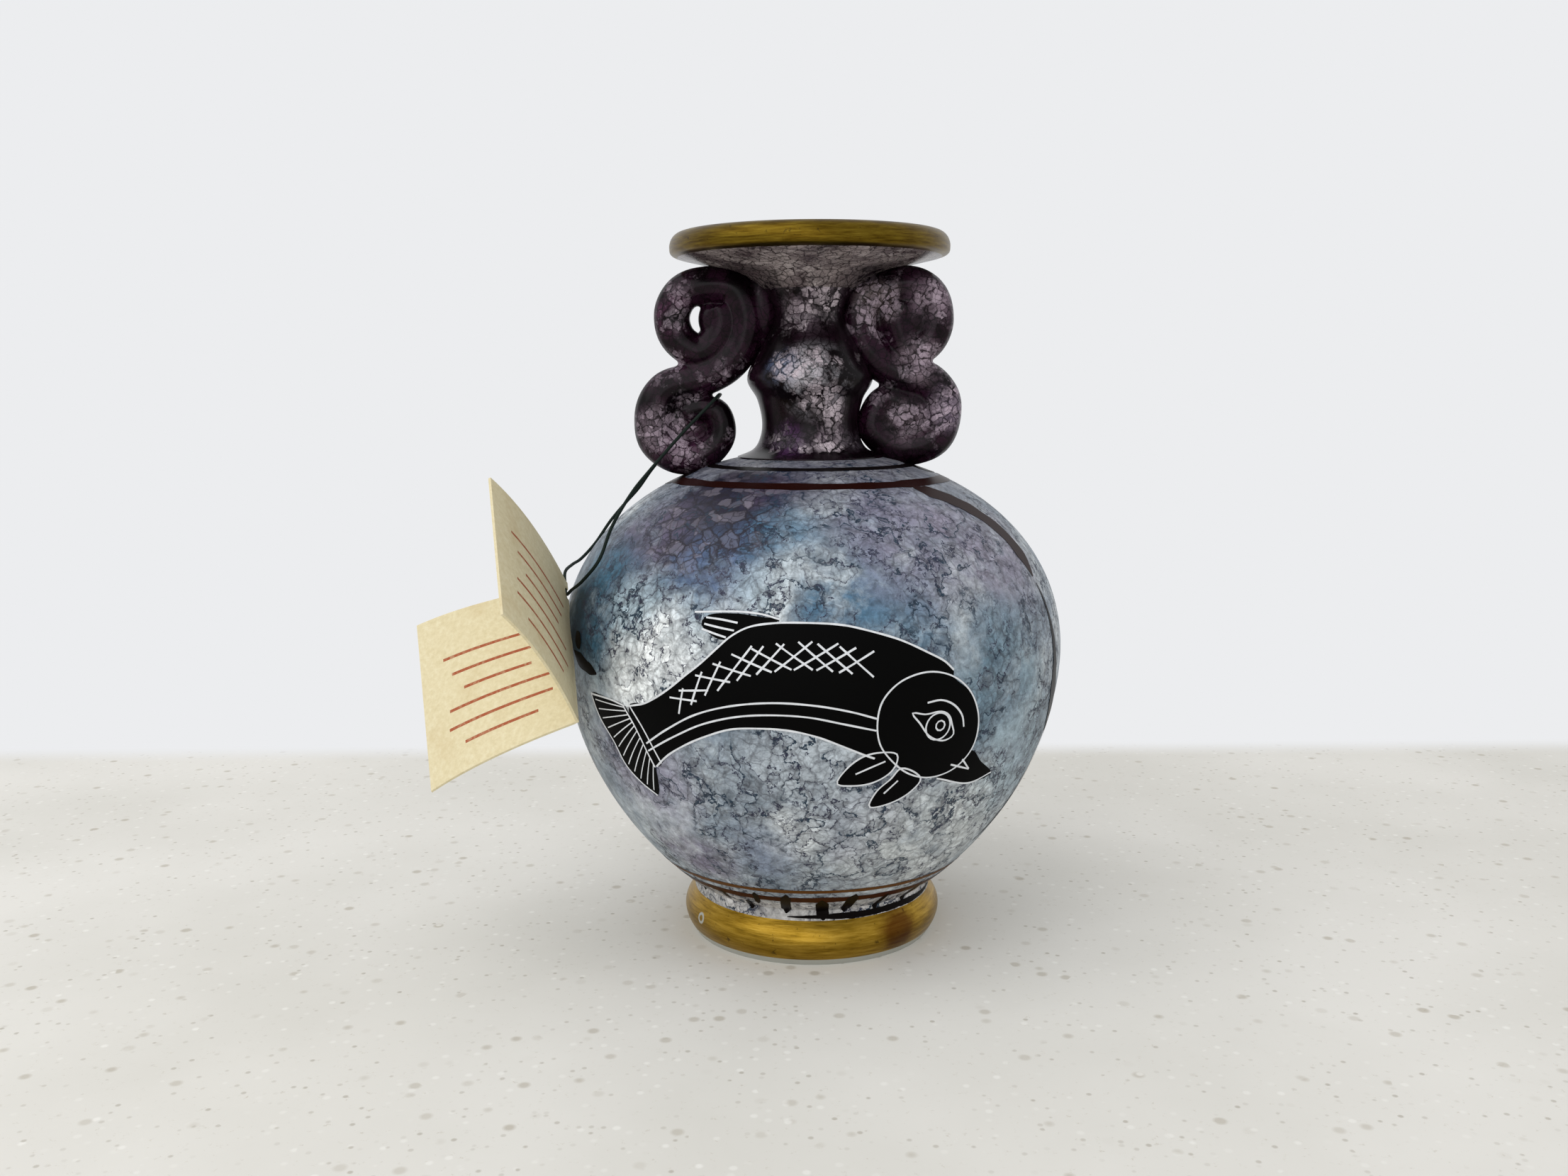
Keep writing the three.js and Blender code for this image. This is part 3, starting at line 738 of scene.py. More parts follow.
def body_glaze():
    """Marbled crackle glaze: blue-grey and milky pools, dark tide lines, and foam near the top."""
    finish = Finish("marbled_crackle_glaze")
    add = finish.add
    far = stirred(finish, 14, 12)
    near = stirred(finish, 3, 2.4)
    colour, _ = clouded(finish, far, 17, 10, 0.66, GLAZE_TONES)
    top = add("SeparateXYZ", {0: finish.place}).outputs["Z"]
    layers = []
    for low, high, most, code in GLAZE_TINTS:
        limits = {"Value": top, "From Min": low * MM, "From Max": high * MM, "To Max": most}
        layers.append((add("MapRange", limits), code))
    ragged = speckled(finish, near, 7, 10, 0.7, (0.38, 0.56), (0.4, 1))
    for centre, full, edge, code, most in GLAZE_POOLS:
        share = patch(finish, far, centre, full, edge, most)
        layers.append((add("Math", {0: share, 1: ragged}, operation="MULTIPLY"), code))
    for share, code in layers:
        inputs = {0: share, 6: colour, 7: linear(code)}
        colour = add("Mix", inputs, data_type="RGBA").outputs[2]

    # Fine mottling, and the level streaks of a sponge and brush that went round the vase
    mottle = speckled(finish, near, 1.7, 8, 0.75, (0.36, 0.64), (0.55, 1.34))
    level = add("Mapping", {"Vector": finish.place, "Scale": (1, 1, 9)})
    streaks = speckled(finish, level, 3.4, 6, 0.7, (0.35, 0.65), (0.93, 1.06))
    for shade in (mottle, streaks):
        inputs = {0: 1, 6: colour, 7: shade}
        colour = add("Mix", inputs, data_type="RGBA", blend_type="MULTIPLY").outputs[2]

    where = speckled(finish, far, 12, 4, 0.5, (0.36, 0.52), **SMOOTH)
    foamy = patch(finish, far, (-18, -28, 78), 10, 26)
    cover = add("Math", {0: where, 1: foamy}, operation="MAXIMUM")
    layers = []
    for size, bands, crisp, code in ((15, 7, 0.12, "#172e40"), (7, 6, 0.1, "#24263e")):
        line = tide_lines(finish, near, size, bands, crisp)
        layers.append((add("Math", {0: line, 1: cover}, operation="MULTIPLY"), code))

    # Foam: pale and dark cells, with thin dark walls, and a faint net of them elsewhere
    core = patch(finish, far, (-17, -27, 82), 7, 19)
    net = add("Math", {0: where, 1: 0.42}, operation="MULTIPLY")
    net = add("Math", {0: net, 1: core}, operation="MAXIMUM")
    for size, wall, most in ((3.3, 0.09, 0.95), (1.8, 0.09, 0.75)):
        pale, walls = cells(finish, near, size, 0.7, 0.95, 0.22)
        pale = add("Math", {0: pale, 1: core}, operation="MULTIPLY")
        limits = {"Value": walls, "From Max": wall, "To Min": most, "To Max": 0}
        walls = add("MapRange", limits, **SMOOTH)
        walls = add("Math", {0: walls, 1: net}, operation="MULTIPLY")
        layers += [(pale, "#a39ba8"), (walls, "#15101f")]
    for share, code in layers:
        inputs = {0: share, 6: colour, 7: linear(code)}
        colour = add("Mix", inputs, data_type="RGBA").outputs[2]

    dents = add("TexNoise", {"Vector": level, "Scale": grain(1.2), "Detail": 4})
    return finish.surface(colour, 0.48, gloss=0.3, relief=(dents, 0.06, 0.5))


def foam_glaze(name, dark, middle, pale, cover, pools):
    """Purple-black glaze that foamed: irregular pale cells in drifts, with dark walls."""
    finish = Finish(name)
    add = finish.add
    spot = stirred(finish, 2.2, 1.7)
    colour, ground = clouded(finish, spot, 6, 8, 0.65, [(0.4, dark), (0.62, middle)])
    limits = {"Value": ground, "From Min": 0.42, "From Max": 0.58, "To Max": 0.8}
    ragged = add("MapRange", limits)
    drifts = add(
        "TexNoise",
        {"Vector": spot, "Scale": grain(7), "Detail": 5, "Roughness": 0.6},
    )
    layers = []
    for centre, full, edge, code, most, foam in pools:
        share = patch(finish, spot, centre, full, edge, most)
        lift = add("Math", {0: share, 1: foam}, operation="MULTIPLY")
        drifts = add("Math", {0: drifts, 1: lift}, operation="ADD")
        layers.append((add("Math", {0: share, 1: ragged}, operation="MULTIPLY"), code))
    limits = {"Value": drifts, "From Min": 0.66 - cover, "From Max": 0.84 - cover}
    where = add("MapRange", limits)
    for size, most in ((1.8, 0.9), (0.9, 0.6)):
        lot, walls = cells(finish, spot, size, 0.25, 0.9)
        limits = {"Value": walls, "From Min": 0.03, "From Max": 0.13, "To Max": most}
        inside = add("MapRange", limits, **SMOOTH)
        for factor in (where, lot):
            inside = add("Math", {0: inside, 1: factor}, operation="MULTIPLY")
        limits = {"Value": walls, "From Max": 0.08, "To Min": most, "To Max": 0}
        layers += [(inside, pale), (add("MapRange", limits), "#060204")]
    for share, code in layers:
        inputs = {0: share, 6: colour, 7: linear(code)}
        colour = add("Mix", inputs, data_type="RGBA").outputs[2]
    return finish.surface(colour, 0.22, gloss=0.12)


def antique_gold(name, tones):
    """Antique gold paint, brushed on while the vase turned: satin, ringed, worn and chipped."""
    finish = Finish(name)
    add = finish.add
    level = add("Mapping", {"Vector": finish.place, "Scale": (1, 1, 11)})
    stops = list(zip((0.24, 0.44, 0.62, 0.82), tones))
    colour, brush = clouded(finish, level, 5, 7, 0.65, stops)
    worn = speckled(finish, finish.place, 1.3, 6, 0.7, (0.62, 0.68), (0, 0.7))
    # A round chip in the foot with gold left in its middle, a stain, and the bare lower edge
    chip, left_gold = [
        patch(finish, finish.place, FOOT_CHIP, *radii) for radii in ((0.95, 1.15), (0.45, 0.7))
    ]
    chip = add("Math", {0: chip, 1: left_gold}, operation="SUBTRACT")
    stain = patch(finish, stirred(finish, 3, 3), FOOT_STAIN, 2, 6, 0.8)
    low, high = UNPAINTED_EDGE
    height = add("SeparateXYZ", {0: finish.place}).outputs["Z"]
    limits = {"From Min": low * MM, "From Max": high * MM, "To Min": 1, "To Max": 0}
    edge = add("MapRange", {"Value": height, **limits})
    bare = add("Math", {0: chip, 1: edge}, operation="MAXIMUM")
    for share, code in ((worn, "#2b2010"), (stain, "#431404"), (bare, "#a3a49c")):
        inputs = {0: share, 6: colour, 7: linear(code)}
        colour = add("Mix", inputs, data_type="RGBA").outputs[2]
    metal = add("Math", {0: 1, 1: bare}, operation="SUBTRACT", use_clamp=True)
    return finish.surface(colour, 0.34, metal=metal, relief=(brush, 0.12, 0.35))


def plain(name, code, roughness, metallic=0):
    """One colour with a faint grain: brushed slip, coated wire and scratched lines."""
    finish = Finish(name)
    shade = speckled(finish, finish.place, 0.8, 4, 0.5, (0, 1), (0.8, 1.2))
    inputs = {0: 1, 6: linear(code), 7: shade}
    shaded = finish.add("Mix", inputs, data_type="RGBA", blend_type="MULTIPLY")
    return finish.surface(shaded.outputs[2], roughness, gloss=0.04, metal=metallic)


FOAM = 0.22
# Where the foam is paler or darker: centre, full and edge radius, tint, its share, and how
# much foam there is more or less
NECK_POOLS = [
    # Pale foam on the bulb's front, made paler still by a painted highlight where the bulb faces
    # the light
    ((1, -11.7, 103.5), 3.5, 9, "#b3b2b9", 1.0, FOAM),
    ((-5.5, -10, 106), 1, 5, "#4d6285", 0.8, FOAM),
    ((4, -11, 98), 2, 6, "#8d7f8a", 0.7, FOAM),
    ((0, -8.4, 118.4), 3, 8, "#6d606a", 1.0, FOAM),
    ((0, 0, 87), 9, 12, "#9d97a3", 0.7, FOAM),
    ((3.6, -9, 93.6), 1.5, 5, "#83737f", 0.9, FOAM),
    ((-4.4, -9, 92.6), 2, 5, "#43264a", 0.9, 0.12),
]
UNDERSIDE_POOLS = [
    ((-10.5, -5, 121), 3, 8, "#0e060c", 1.6, -0.2),
    ((10.5, -5, 121), 3, 8, "#0e060c", 1.6, -0.2),
    ((0, 9, 120.5), 6, 12, "#0e060c", 1.4, -0.15),
    ((0, -9, 120), 1, 5, "#2a1c25", 1.0, 0),
]
HANDLE_POOLS = [
    ((-28, -3, 95), 2, 6, "#8d7f8a", 0.8, FOAM),
    ((-24, -3, 92), 2, 6, "#4c2c44", 0.8, FOAM),
    ((-26, -3, 116), 2, 6, "#54324a", 0.7, FOAM),
    ((27, -3, 99), 2, 7, "#85788a", 0.8, FOAM),
    ((20, -3, 107), 2, 6, "#857680", 0.8, FOAM),
    ((17.5, -3, 96), 2, 5, "#857680", 0.8, FOAM),
    ((22, -3, 118), 2, 6, "#7c6a78", 0.7, FOAM),
    ((12, -3, 118), 2, 6, "#6b625f", 0.7, FOAM),
]


def vase_pieces():
    glaze = body_glaze()
    neck = foam_glaze("neck_foam_glaze", "#080306", "#1d0d18", "#c6b9c1", 0.07, NECK_POOLS)
    coils = foam_glaze("handle_foam_glaze", "#080306", "#2a1223", "#b09fad", 0.11, HANDLE_POOLS)
    underside = foam_glaze(
        "mouth_foam_glaze", "#54484b", "#a69a99", "#c9bebd", 0.2, UNDERSIDE_POOLS
    )
    rim = antique_gold("rim_gold_paint", ["#352605", "#574310", "#6d591b", "#86702c"])
    base = antique_gold("foot_gold_paint", ["#5e4610", "#8c6d20", "#a68532", "#c0a04a"])
    finished("belly_shell", turned(belly_section()), [glaze], "vase", "belly_glaze", "belly")
    finished("neck_tube", turned(neck_section()), [neck], "vase", "handle_glaze", "neck")
    dish = turned(mouth_section())
    for face in dish.faces:
        place = face.calc_center_median() / MM
        outside = place.xy.length > MOUTH_RADIUS - LIP_WIDTH
        face.material_index = int(outside and place.z > LIP_SEAT - GOLD_UNDER_LIP)
    finished("mouth_dish", dish, [underside, rim], "vase", "belly_glaze", "mouth")
    finished("rolled_lip", turned(lip_section()), [rim], "vase", "gilding", "lip")
    finished("foot_ring", turned(foot_section()), [base], "vase", "gilding", "foot")
    for name, shape in HANDLES.items():
        coil = rolled_coil(name, shape)
        finished(name + "_scroll", coil, [coils], "vase", "handle_glaze", name)


# The painted decoration. Places on the belly are (arc, height): millimetres round the widest
# ring, from the front towards the right, and millimetres above the foot.
FISH_BACK = [
    (-34.2, 50.2), (-29.9, 51.4), (-25.3, 54.1), (-22.2, 56.5), (-19, 59), (-16.4, 61.4),
    (-14.1, 63.4), (-11.2, 64.9), (-7.1, 65.6), (-1.3, 65.7), (4.5, 65.3), (9.2, 64.2),
    (13.9, 62.7), (18.7, 60.4), (21.6, 58.8), (23.2, 57.3),
]
FISH_BELLY = [
    (9.7, 43.6), (7.5, 44.5), (3.9, 46.1), (-0.1, 47.7), (-4.6, 48.7), (-9.2, 48.9),
    (-14, 48.5), (-18.4, 47), (-22.7, 45), (-26.8, 42.6), (-30, 40.1),
]
HEAD = [
    (9.8, 49.8), (10.6, 53.3), (13.6, 56.2), (18.5, 57.4), (23.2, 56.2), (26.9, 53),
    (29, 47.9), (28.5, 43.3), (25.4, 40.2), (20.5, 39.2), (16.1, 40.4), (12.5, 43.2),
    (10.4, 46.1),
]
HEAD_FRONT = HEAD[4:12]
TAIL_TOP = [(-45.3, 50.6), (-38.9, 50.6), (-35.3, 50.1)]
TAIL_EDGE = [
    (-45.3, 50.6), (-43.4, 46.7), (-40.3, 42.8), (-38.6, 38.9), (-35.6, 36.2), (-32.1, 34.3),
]
TAIL_BASE = [(-35.6, 50.1), (-33.2, 46.6), (-30.4, 39.9)]
TAIL_BASE_INNER = [(-34, 50.4), (-31.3, 46.6), (-28.6, 40.9)]
TAIL_RAYS = 12
STRIPES = [
    [(-31.2, 44.1), (-25.9, 47.4), (-20.1, 50.5), (-13.8, 52.4), (-6.8, 53.2), (-0.1, 52.8),
     (5.5, 51.7), (9.7, 50.4)],
    [(-31.1, 42.8), (-24.6, 46.3), (-18.9, 49), (-12.7, 50.7), (-6.9, 51.2), (-1.2, 50.9),
     (4.4, 49.7), (9.7, 48.4)],
]
SCALES = [
    (-22.6, 52.6), (-20, 54.7), (-16.4, 56.9), (-11.7, 59), (-6.6, 60.2), (-1.6, 60.6),
    (3.5, 60.1), (6.6, 59.6),
]
SCALE_REACH = 2.1
SCALE_NARROW = 0.7
SCALE_LEAN = 1.4
SCALE_STEP = 3.3
SCALE_SLIP = 0.9
BEAK = [(28.6, 42.9), (31.5, 40.5), (35.6, 37.5), (30, 36.7), (22, 38.9), (25.4, 40.4)]
BEAK_LINE = [(35.6, 37.7), (30, 36.7), (22, 38.8)]
BEAK_NOTCH = [(26.8, 41.6), (28.9, 39.5), (24.4, 41)]
FINS = [
    [(13.5, 44.1), (10.5, 44.6), (7.6, 44), (5, 42), (3.5, 39.4), (6.1, 38.9), (9.8, 39.3),
     (12.8, 41), (13.7, 42.8)],
    [(14.6, 41.5), (12.9, 39.7), (10.6, 37.6), (9.6, 34.8), (13, 35), (16.8, 36.7),
     (18.7, 39.1)],
]
FIN_VEINS = [[(6.6, 41), (9.5, 42.2), (11.6, 43)], [(12, 37.1), (14.3, 39.3)]]
BACK_FIN = [
    (-6, 66.1), (-10, 66.6), (-13.3, 66.9), (-18.6, 66.4), (-19.6, 65.2), (-18.6, 64.1),
    (-15.6, 62.8), (-13, 63.6), (-9, 65),
]
BACK_FIN_LINES = [
    [(-21.1, 66.8), (-13.3, 67.2), (-9, 66.9), (-6, 66.2)],
    [(-18.8, 66.1), (-16, 65.9), (-13.1, 65.5)],
    [(-19, 65.1), (-16.5, 64.7), (-13.6, 64.3)],
    [(-19.3, 64.3), (-17, 63.7), (-14.9, 63.2)],
]
EYE = [
    (15.7, 50.9), (18.1, 50.5), (21, 50.7), (22.5, 49.9), (23.3, 48.2), (23.8, 46.4),
    (22, 45.6), (19.1, 46.7), (17.2, 49),
]
# Ovals: centre and half sizes
IRIS = (20.6, 48.2, 2.3, 2.3)
PUPIL = (21, 48.3, 0.85, 0.85)
BROW = [(18.3, 52.4), (20.9, 52.6), (23.4, 51.5), (25.2, 49.5), (25.8, 47.5)]
INCISED_WIDTH = 0.32
CLOSED_LINE_WIDTH = INCISED_WIDTH * 0.9
RAY_WIDTH = 0.2
RAY_REACH = 0.9
# How far scratched lines stand over the paint, and each shape of the fish over the last one
SCRATCH_LIFT = 0.045
SLIP_LIFTS = (0, 0.008, 0.01, 0.012, 0.016, 0.02)
OUTLINE_SPACING = 0.7
PAINT_SPACING = 1.5
STROKE_SPACING = 0.6
# Width of a tapered stroke at its very ends, how much any stroke's width wanders, and the
# distance between its swellings
STROKE_TIP = 0.12
STROKE_WANDER = 0.22
STROKE_SWELLINGS = 2.5

# Brush strokes: points, and the stroke's widest width
BROWN_STROKE = (
    [(33.8, 85.1), (42.3, 83.1), (47.8, 80.4), (51, 77), (52, 73.2), (51.8, 69.4)],
    4,
)
BLACK_STROKES = [
    ([(51.9, 68.2), (53, 63.8), (53.8, 58.8), (55.2, 52.1), (58.8, 44.4), (59.6, 37.6),
      (57, 31.7), (53, 26.1), (46, 21.6)], 2.0),
    ([(53.4, 53.8), (56.6, 46.7), (59.6, 39.4)], 3.6),
    ([(-52, 60.4), (-50.5, 59), (-49.6, 57.6)], 2.6),
    ([(-52.5, 57), (-48.3, 55.6), (-42.8, 54.4)], 2.4),
    ([(-10, 8.8), (4, 8.9), (18, 8.8), (34, 8.9), (50, 8.8), (64, 8.9)], 1.2),
]
DRIPS = [
    ([(-8.3, 15), (-9.4, 12.4), (-10.4, 9.4)], 1.9),
    ([(2.2, 13.5), (2.9, 10.4), (3.4, 8.2)], 2.2),
    ([(12.1, 14.8), (11.6, 12.4), (11.1, 9.6)], 2.1),
    ([(-18, 14.9), (-18.6, 13), (-19.6, 11.4)], 1.1),
    ([(-23.2, 12), (-23.6, 10.8), (-24.2, 9.4)], 1.2),
    ([(-31.3, 13.6), (-31.6, 12.4), (-32.2, 11)], 1.0),
    ([(24, 13.6), (23.6, 11.4), (23.4, 9)], 1.3),
    ([(38, 13.6), (37.4, 11.6), (37, 9.2)], 1.5),
    ([(60, 13.8), (59.4, 11.8), (59, 9)], 1.4),
    ([(-50, 13.7), (-50.6, 11.6), (-51, 9.6)], 1.5),
    ([(92, 13.8), (92.5, 11.5), (93, 8.8)], 2.0),
    ([(118, 13.9), (118.6, 12), (119, 9.6)], 1.4),
    ([(-98, 13.6), (-98.8, 11.4), (-99, 9)], 1.8),
]
HALF_ROUND = math.pi * BELLY_RADIUS
RING_SPACING = 1.6
# Shares of a ring's width by which it wanders and swells, and how fast on its way round
RING_WANDER = 0.12
RING_SWELL = 0.25
RING_WANDER_RATE = 1.7
RING_SWELL_RATE = 5
# Rings: lowest and highest edge, and the place of the colour in the list
RINGS = [(85.25, 86.2, 0), (87.95, 88.4, 1), (15.5, 16.35, 2), (12.9, 14.2, 3)]
# Slip under the handles' feet: ovals, with their centre and half sizes
LUTING = [(-76, 86.2, 15, 1.6), (74, 87.7, 14, 1.2)]
LUTING_LIFT = 0.01


def face_out(made):
    """Turns every face of the paint away from the middle of the belly."""
    middle = Vector((0, 0, BELLY_MIDDLE * MM))
    for face in made.faces:
        face.normal_update()
        if face.normal.dot(face.calc_center_median() - middle) < 0:
            face.normal_flip()


def cut_up(made, spacing):
    """Cuts a flat face in the XZ plane into small triangles, so that it can be bent."""
    for k, axis in ((0, (1, 0, 0)), (2, (0, 0, 1))):
        places = [vert.co[k] for vert in made.verts]
        cut = min(places) + spacing
        while cut < max(places):
            bmesh.ops.bisect_plane(
                made,
                geom=made.verts[:] + made.edges[:] + made.faces[:],
                plane_co=[value * cut for value in axis],
                plane_no=axis,
            )
            cut += spacing
    bmesh.ops.triangulate(made, faces=made.faces)


def join_rows(made, rows, material=0):
    """Faces between rows of vertices."""
    for row, after in zip(rows, rows[1:]):
        for k in range(len(row) - 1):
            corners = (row[k], row[k + 1], after[k + 1], after[k])
            made.faces.new(corners).material_index = material


def smooth_chart(points, spacing, closed=False):
    """A smooth line through places on the belly, with its points evenly apart."""
    line = through([(u, 0, z) for u, z in points], 10, closed)
    return evenly(line + line[:1] if closed else line, spacing)


def painted_shape(made, outline, lift, material=0):
    """Fills an outline on the belly with paint."""
    flat = bmesh.new()
    corners = smooth_chart(outline, OUTLINE_SPACING, closed=True)[:-1]
    flat.faces.new([flat.verts.new(corner) for corner in corners])
    cut_up(flat, PAINT_SPACING)
    copies = {v: made.verts.new(on_belly(v.co.x, v.co.z, lift)) for v in flat.verts}
    for face in flat.faces:
        made.faces.new([copies[v] for v in face.verts]).material_index = material
    flat.free()


def stroke(made, points, width, lift, closed=False, taper=0, material=0):
    """A painted or scratched line on the belly. Taper is the share that thins at each end."""
    line = smooth_chart(points, STROKE_SPACING, closed)
    last = len(line) - 1
    rows = []
    for i, place in enumerate(line):
        here = on_belly(place.x, place.z, lift)
        before, after = line[max(i - 1, 0)], line[min(i + 1, last)]
        if closed and i in (0, last):
            before, after = line[last - 1], line[1]
        along = on_belly(after.x, after.z, lift) - on_belly(before.x, before.z, lift)
        up = belly_normal(place.x / BELLY_RADIUS, place.z)
        across = along.cross(up).normalized() * MM / 2
        ends = min(i, last - i) / last
        share = min(1, STROKE_TIP + ends / taper) if taper else 1
        spot = Vector((place.x, place.z, width * 7)) / STROKE_SWELLINGS
        across *= width * share * (1 + STROKE_WANDER * noise.noise(spot))
        rows.append([made.verts.new(here + across), made.verts.new(here - across)])
    join_rows(made, rows, material)


def ring(made, low, high, material):
    """A painted band round the belly, with the slight wander of a hand-held brush."""
    steps = round(2 * HALF_ROUND / RING_SPACING)
    rows = []
    for i in range(steps + 1):
        arc = -HALF_ROUND + 2 * HALF_ROUND * i / steps
        angle = arc / BELLY_RADIUS
        spot = Vector((math.sin(angle), math.cos(angle), low / 9)) * RING_WANDER_RATE
        thickness = high - low
        middle = (low + high) / 2 + RING_WANDER * thickness * noise.noise(spot)
        half = thickness / 2 * (1 + RING_SWELL * noise.noise(spot * RING_SWELL_RATE))
        heights = (middle - half, middle, middle + half)
        rows.append([made.verts.new(on_belly(arc, height, PAINT)) for height in heights])
    join_rows(made, rows, material)


def oval(u, z, across, up):
    """Points of an oval on the belly, round its centre."""
    angles = [k * math.pi / 6 for k in range(12)]
    return [(u + across * math.cos(a), z + up * math.sin(a)) for a in angles]


def between_points(line, share):
    """A point at a share of the way along a line of (arc, height) points."""
    place = share * (len(line) - 1)
    k = min(int(place), len(line) - 2)
    return tuple(Vector(line[k]).lerp(Vector(line[k + 1]), place - k))


def fish_lines(made):
    """The lines scratched through the black slip, and those drawn round it."""
    lift = PAINT + SCRATCH_LIFT
    outlines = [FISH_BACK, FISH_BELLY, TAIL_TOP, TAIL_EDGE, TAIL_BASE, TAIL_BASE_INNER]
    for line in outlines + STRIPES + FIN_VEINS + BACK_FIN_LINES + [BEAK_LINE, BROW]:
        stroke(made, line, INCISED_WIDTH, lift)
    for line in FINS + [HEAD, EYE, oval(*IRIS), oval(*PUPIL)]:
        stroke(made, line, CLOSED_LINE_WIDTH, lift, closed=True)
    for a, b in zip(BEAK_NOTCH, BEAK_NOTCH[1:]):
        stroke(made, [a, b], INCISED_WIDTH, lift)
    for i in range(TAIL_RAYS):
        share = (i + 0.5) / TAIL_RAYS
        root = between_points(TAIL_BASE, share)
        tip = between_points(TAIL_EDGE, share)
        stroke(made, [root, between_points([root, tip], RAY_REACH)], RAY_WIDTH, lift)
    line = smooth_chart(SCALES, SCALE_STEP)
    for i, place in enumerate(line):
        before, after = line[max(i - 1, 0)], line[min(i + 1, len(line) - 1)]
        along = (after - before).normalized()
        over = Vector((-along.z, 0, along.x))
        for lean in (SCALE_LEAN, -SCALE_LEAN):
            slip = SCALE_SLIP * noise.noise(place + Vector((0, i, lean)))
            full = SCALE_REACH * min(1, SCALE_NARROW + (1 - SCALE_NARROW) * i / 4)
            reach = (along * (lean + 0.6 * slip) + over) * (full + slip / 2)
            ends = [place + along * slip - reach, place + along * slip + reach]
            stroke(made, [(end.x, end.z) for end in ends], INCISED_WIDTH, lift)


def decoration():
    slip = plain("black_slip", "#030303", 0.6)
    fish = bmesh.new()
    body = FISH_BACK + HEAD_FRONT + FISH_BELLY
    tail = TAIL_TOP + TAIL_BASE[1:] + TAIL_EDGE[:0:-1]
    for outline, lift in zip([body, tail, BEAK, BACK_FIN] + FINS, SLIP_LIFTS):
        painted_shape(fish, outline, PAINT + lift)
    face_out(fish)
    finished("fish_figure", fish, [slip], "vase", "handle_glaze")

    lines = bmesh.new()
    fish_lines(lines)
    face_out(lines)
    scratched = plain("scratched_white_line", "#d5d8dc", 0.6)
    finished("incised_lines", lines, [scratched], "vase", "belly_glaze")

    paints = [
        plain("red_brown_band", "#200a07", 0.3),
        plain("black_brown_band", "#0b0707", 0.35),
        plain("gold_brown_band", "#5a3815", 0.4),
        plain("rust_brown_band", "#34130a", 0.32),
    ]
    bands = bmesh.new()
    for low, high, paint in RINGS:
        ring(bands, low, high, paint)
    # How far strokes lie over the bands, the share that thins at each end, and their paint
    for strokes, lift, taper, paint in (
        (DRIPS, 0.015, 0.22, 1),
        ([BROWN_STROKE], 0.02, 0.15, 0),
        (BLACK_STROKES, 0.03, 0.3, 1),
    ):
        for points, width in strokes:
            stroke(bands, points, width, PAINT + lift, taper=taper, material=paint)
    for foot in LUTING:
        painted_shape(bands, oval(*foot), PAINT + LUTING_LIFT, 1)
    face_out(bands)
    finished("painted_bands", bands, paints, "vase", "handle_glaze")


def leaf_matrix(opening):
    """Where a leaf stands that is opened by an angle: X outwards from the fold, Z up it."""
    up = -FOLD_DOWN
    normal = up.cross(BACK_LEAF_OUT).normalized()
    out = normal.cross(up)
    turn = Matrix((out, normal, up)).transposed().to_4x4()
    return Matrix.Translation(FOLD_TOP) @ turn @ Matrix.Rotation(opening, 4, "Z")


def leaf_bow(x):
    """How far a leaf stands off its flat plane at a distance from the fold."""
    x0, x1, x2 = FOLD_SETBACK, LEAF_WIDE * LEAF_BOW_AT, LEAF_WIDE
    a = x0 - 2 * x1 + x2
    b = 2 * (x1 - x0)
    t = (-b + math.sqrt(max(0, b * b - 4 * a * (x0 - x)))) / (2 * a)
    return 4 * LEAF_BOW * t * (1 - t)


def leaf_outline():
    """A leaf in its own plane, with its half of the hole cut through the fold."""
    notch = math.acos(FOLD_SETBACK / HOLE_RADIUS)
    angles = [notch - 2 * notch * i / 8 for i in range(9)]
    hole = [(HOLE_RADIUS * math.cos(a), -HOLE_DROP + HOLE_RADIUS * math.sin(a)) for a in angles]
    low = [(FOLD_SETBACK, -LEAF_LONG), (LEAF_WIDE, -LEAF_LONG)]
    return hole + low + [(LEAF_WIDE, 0), (FOLD_SETBACK, 0)]


def card_leaf(name, opening, back, twist, finish, body, node):
    made = bmesh.new()
    made.faces.new([made.verts.new((x, 0, z)) for x, z in leaf_outline()])
    cut_up(made, LEAF_SPACING)
    for face in made.faces:
        face.normal_update()
        if face.normal.y < 0:
            face.normal_flip()
    shell = bmesh.ops.extrude_face_region(made, geom=made.faces[:])["geom"]
    moved = {v for v in shell if isinstance(v, bmesh.types.BMVert)}
    sheet = made.loops.layers.uv.new("sheet")
    for face in shell:
        if isinstance(face, bmesh.types.BMFace):
            for loop in face.loops:
                loop[sheet].uv = (loop.vert.co.x * MM, (loop.vert.co.z + LEAF_LONG) * MM)
    matrix = leaf_matrix(opening)
    for vert in made.verts:
        x, _, z = vert.co
        y = back + leaf_bow(x) + (CARD if vert in moved else 0)
        y += twist * (x / LEAF_WIDE) * (z / LEAF_LONG)
        vert.co = matrix @ Vector((x, y, z)) * MM
    bmesh.ops.recalc_face_normals(made, faces=made.faces)
    return finished(name, made, [finish], body, "tag_card", node)


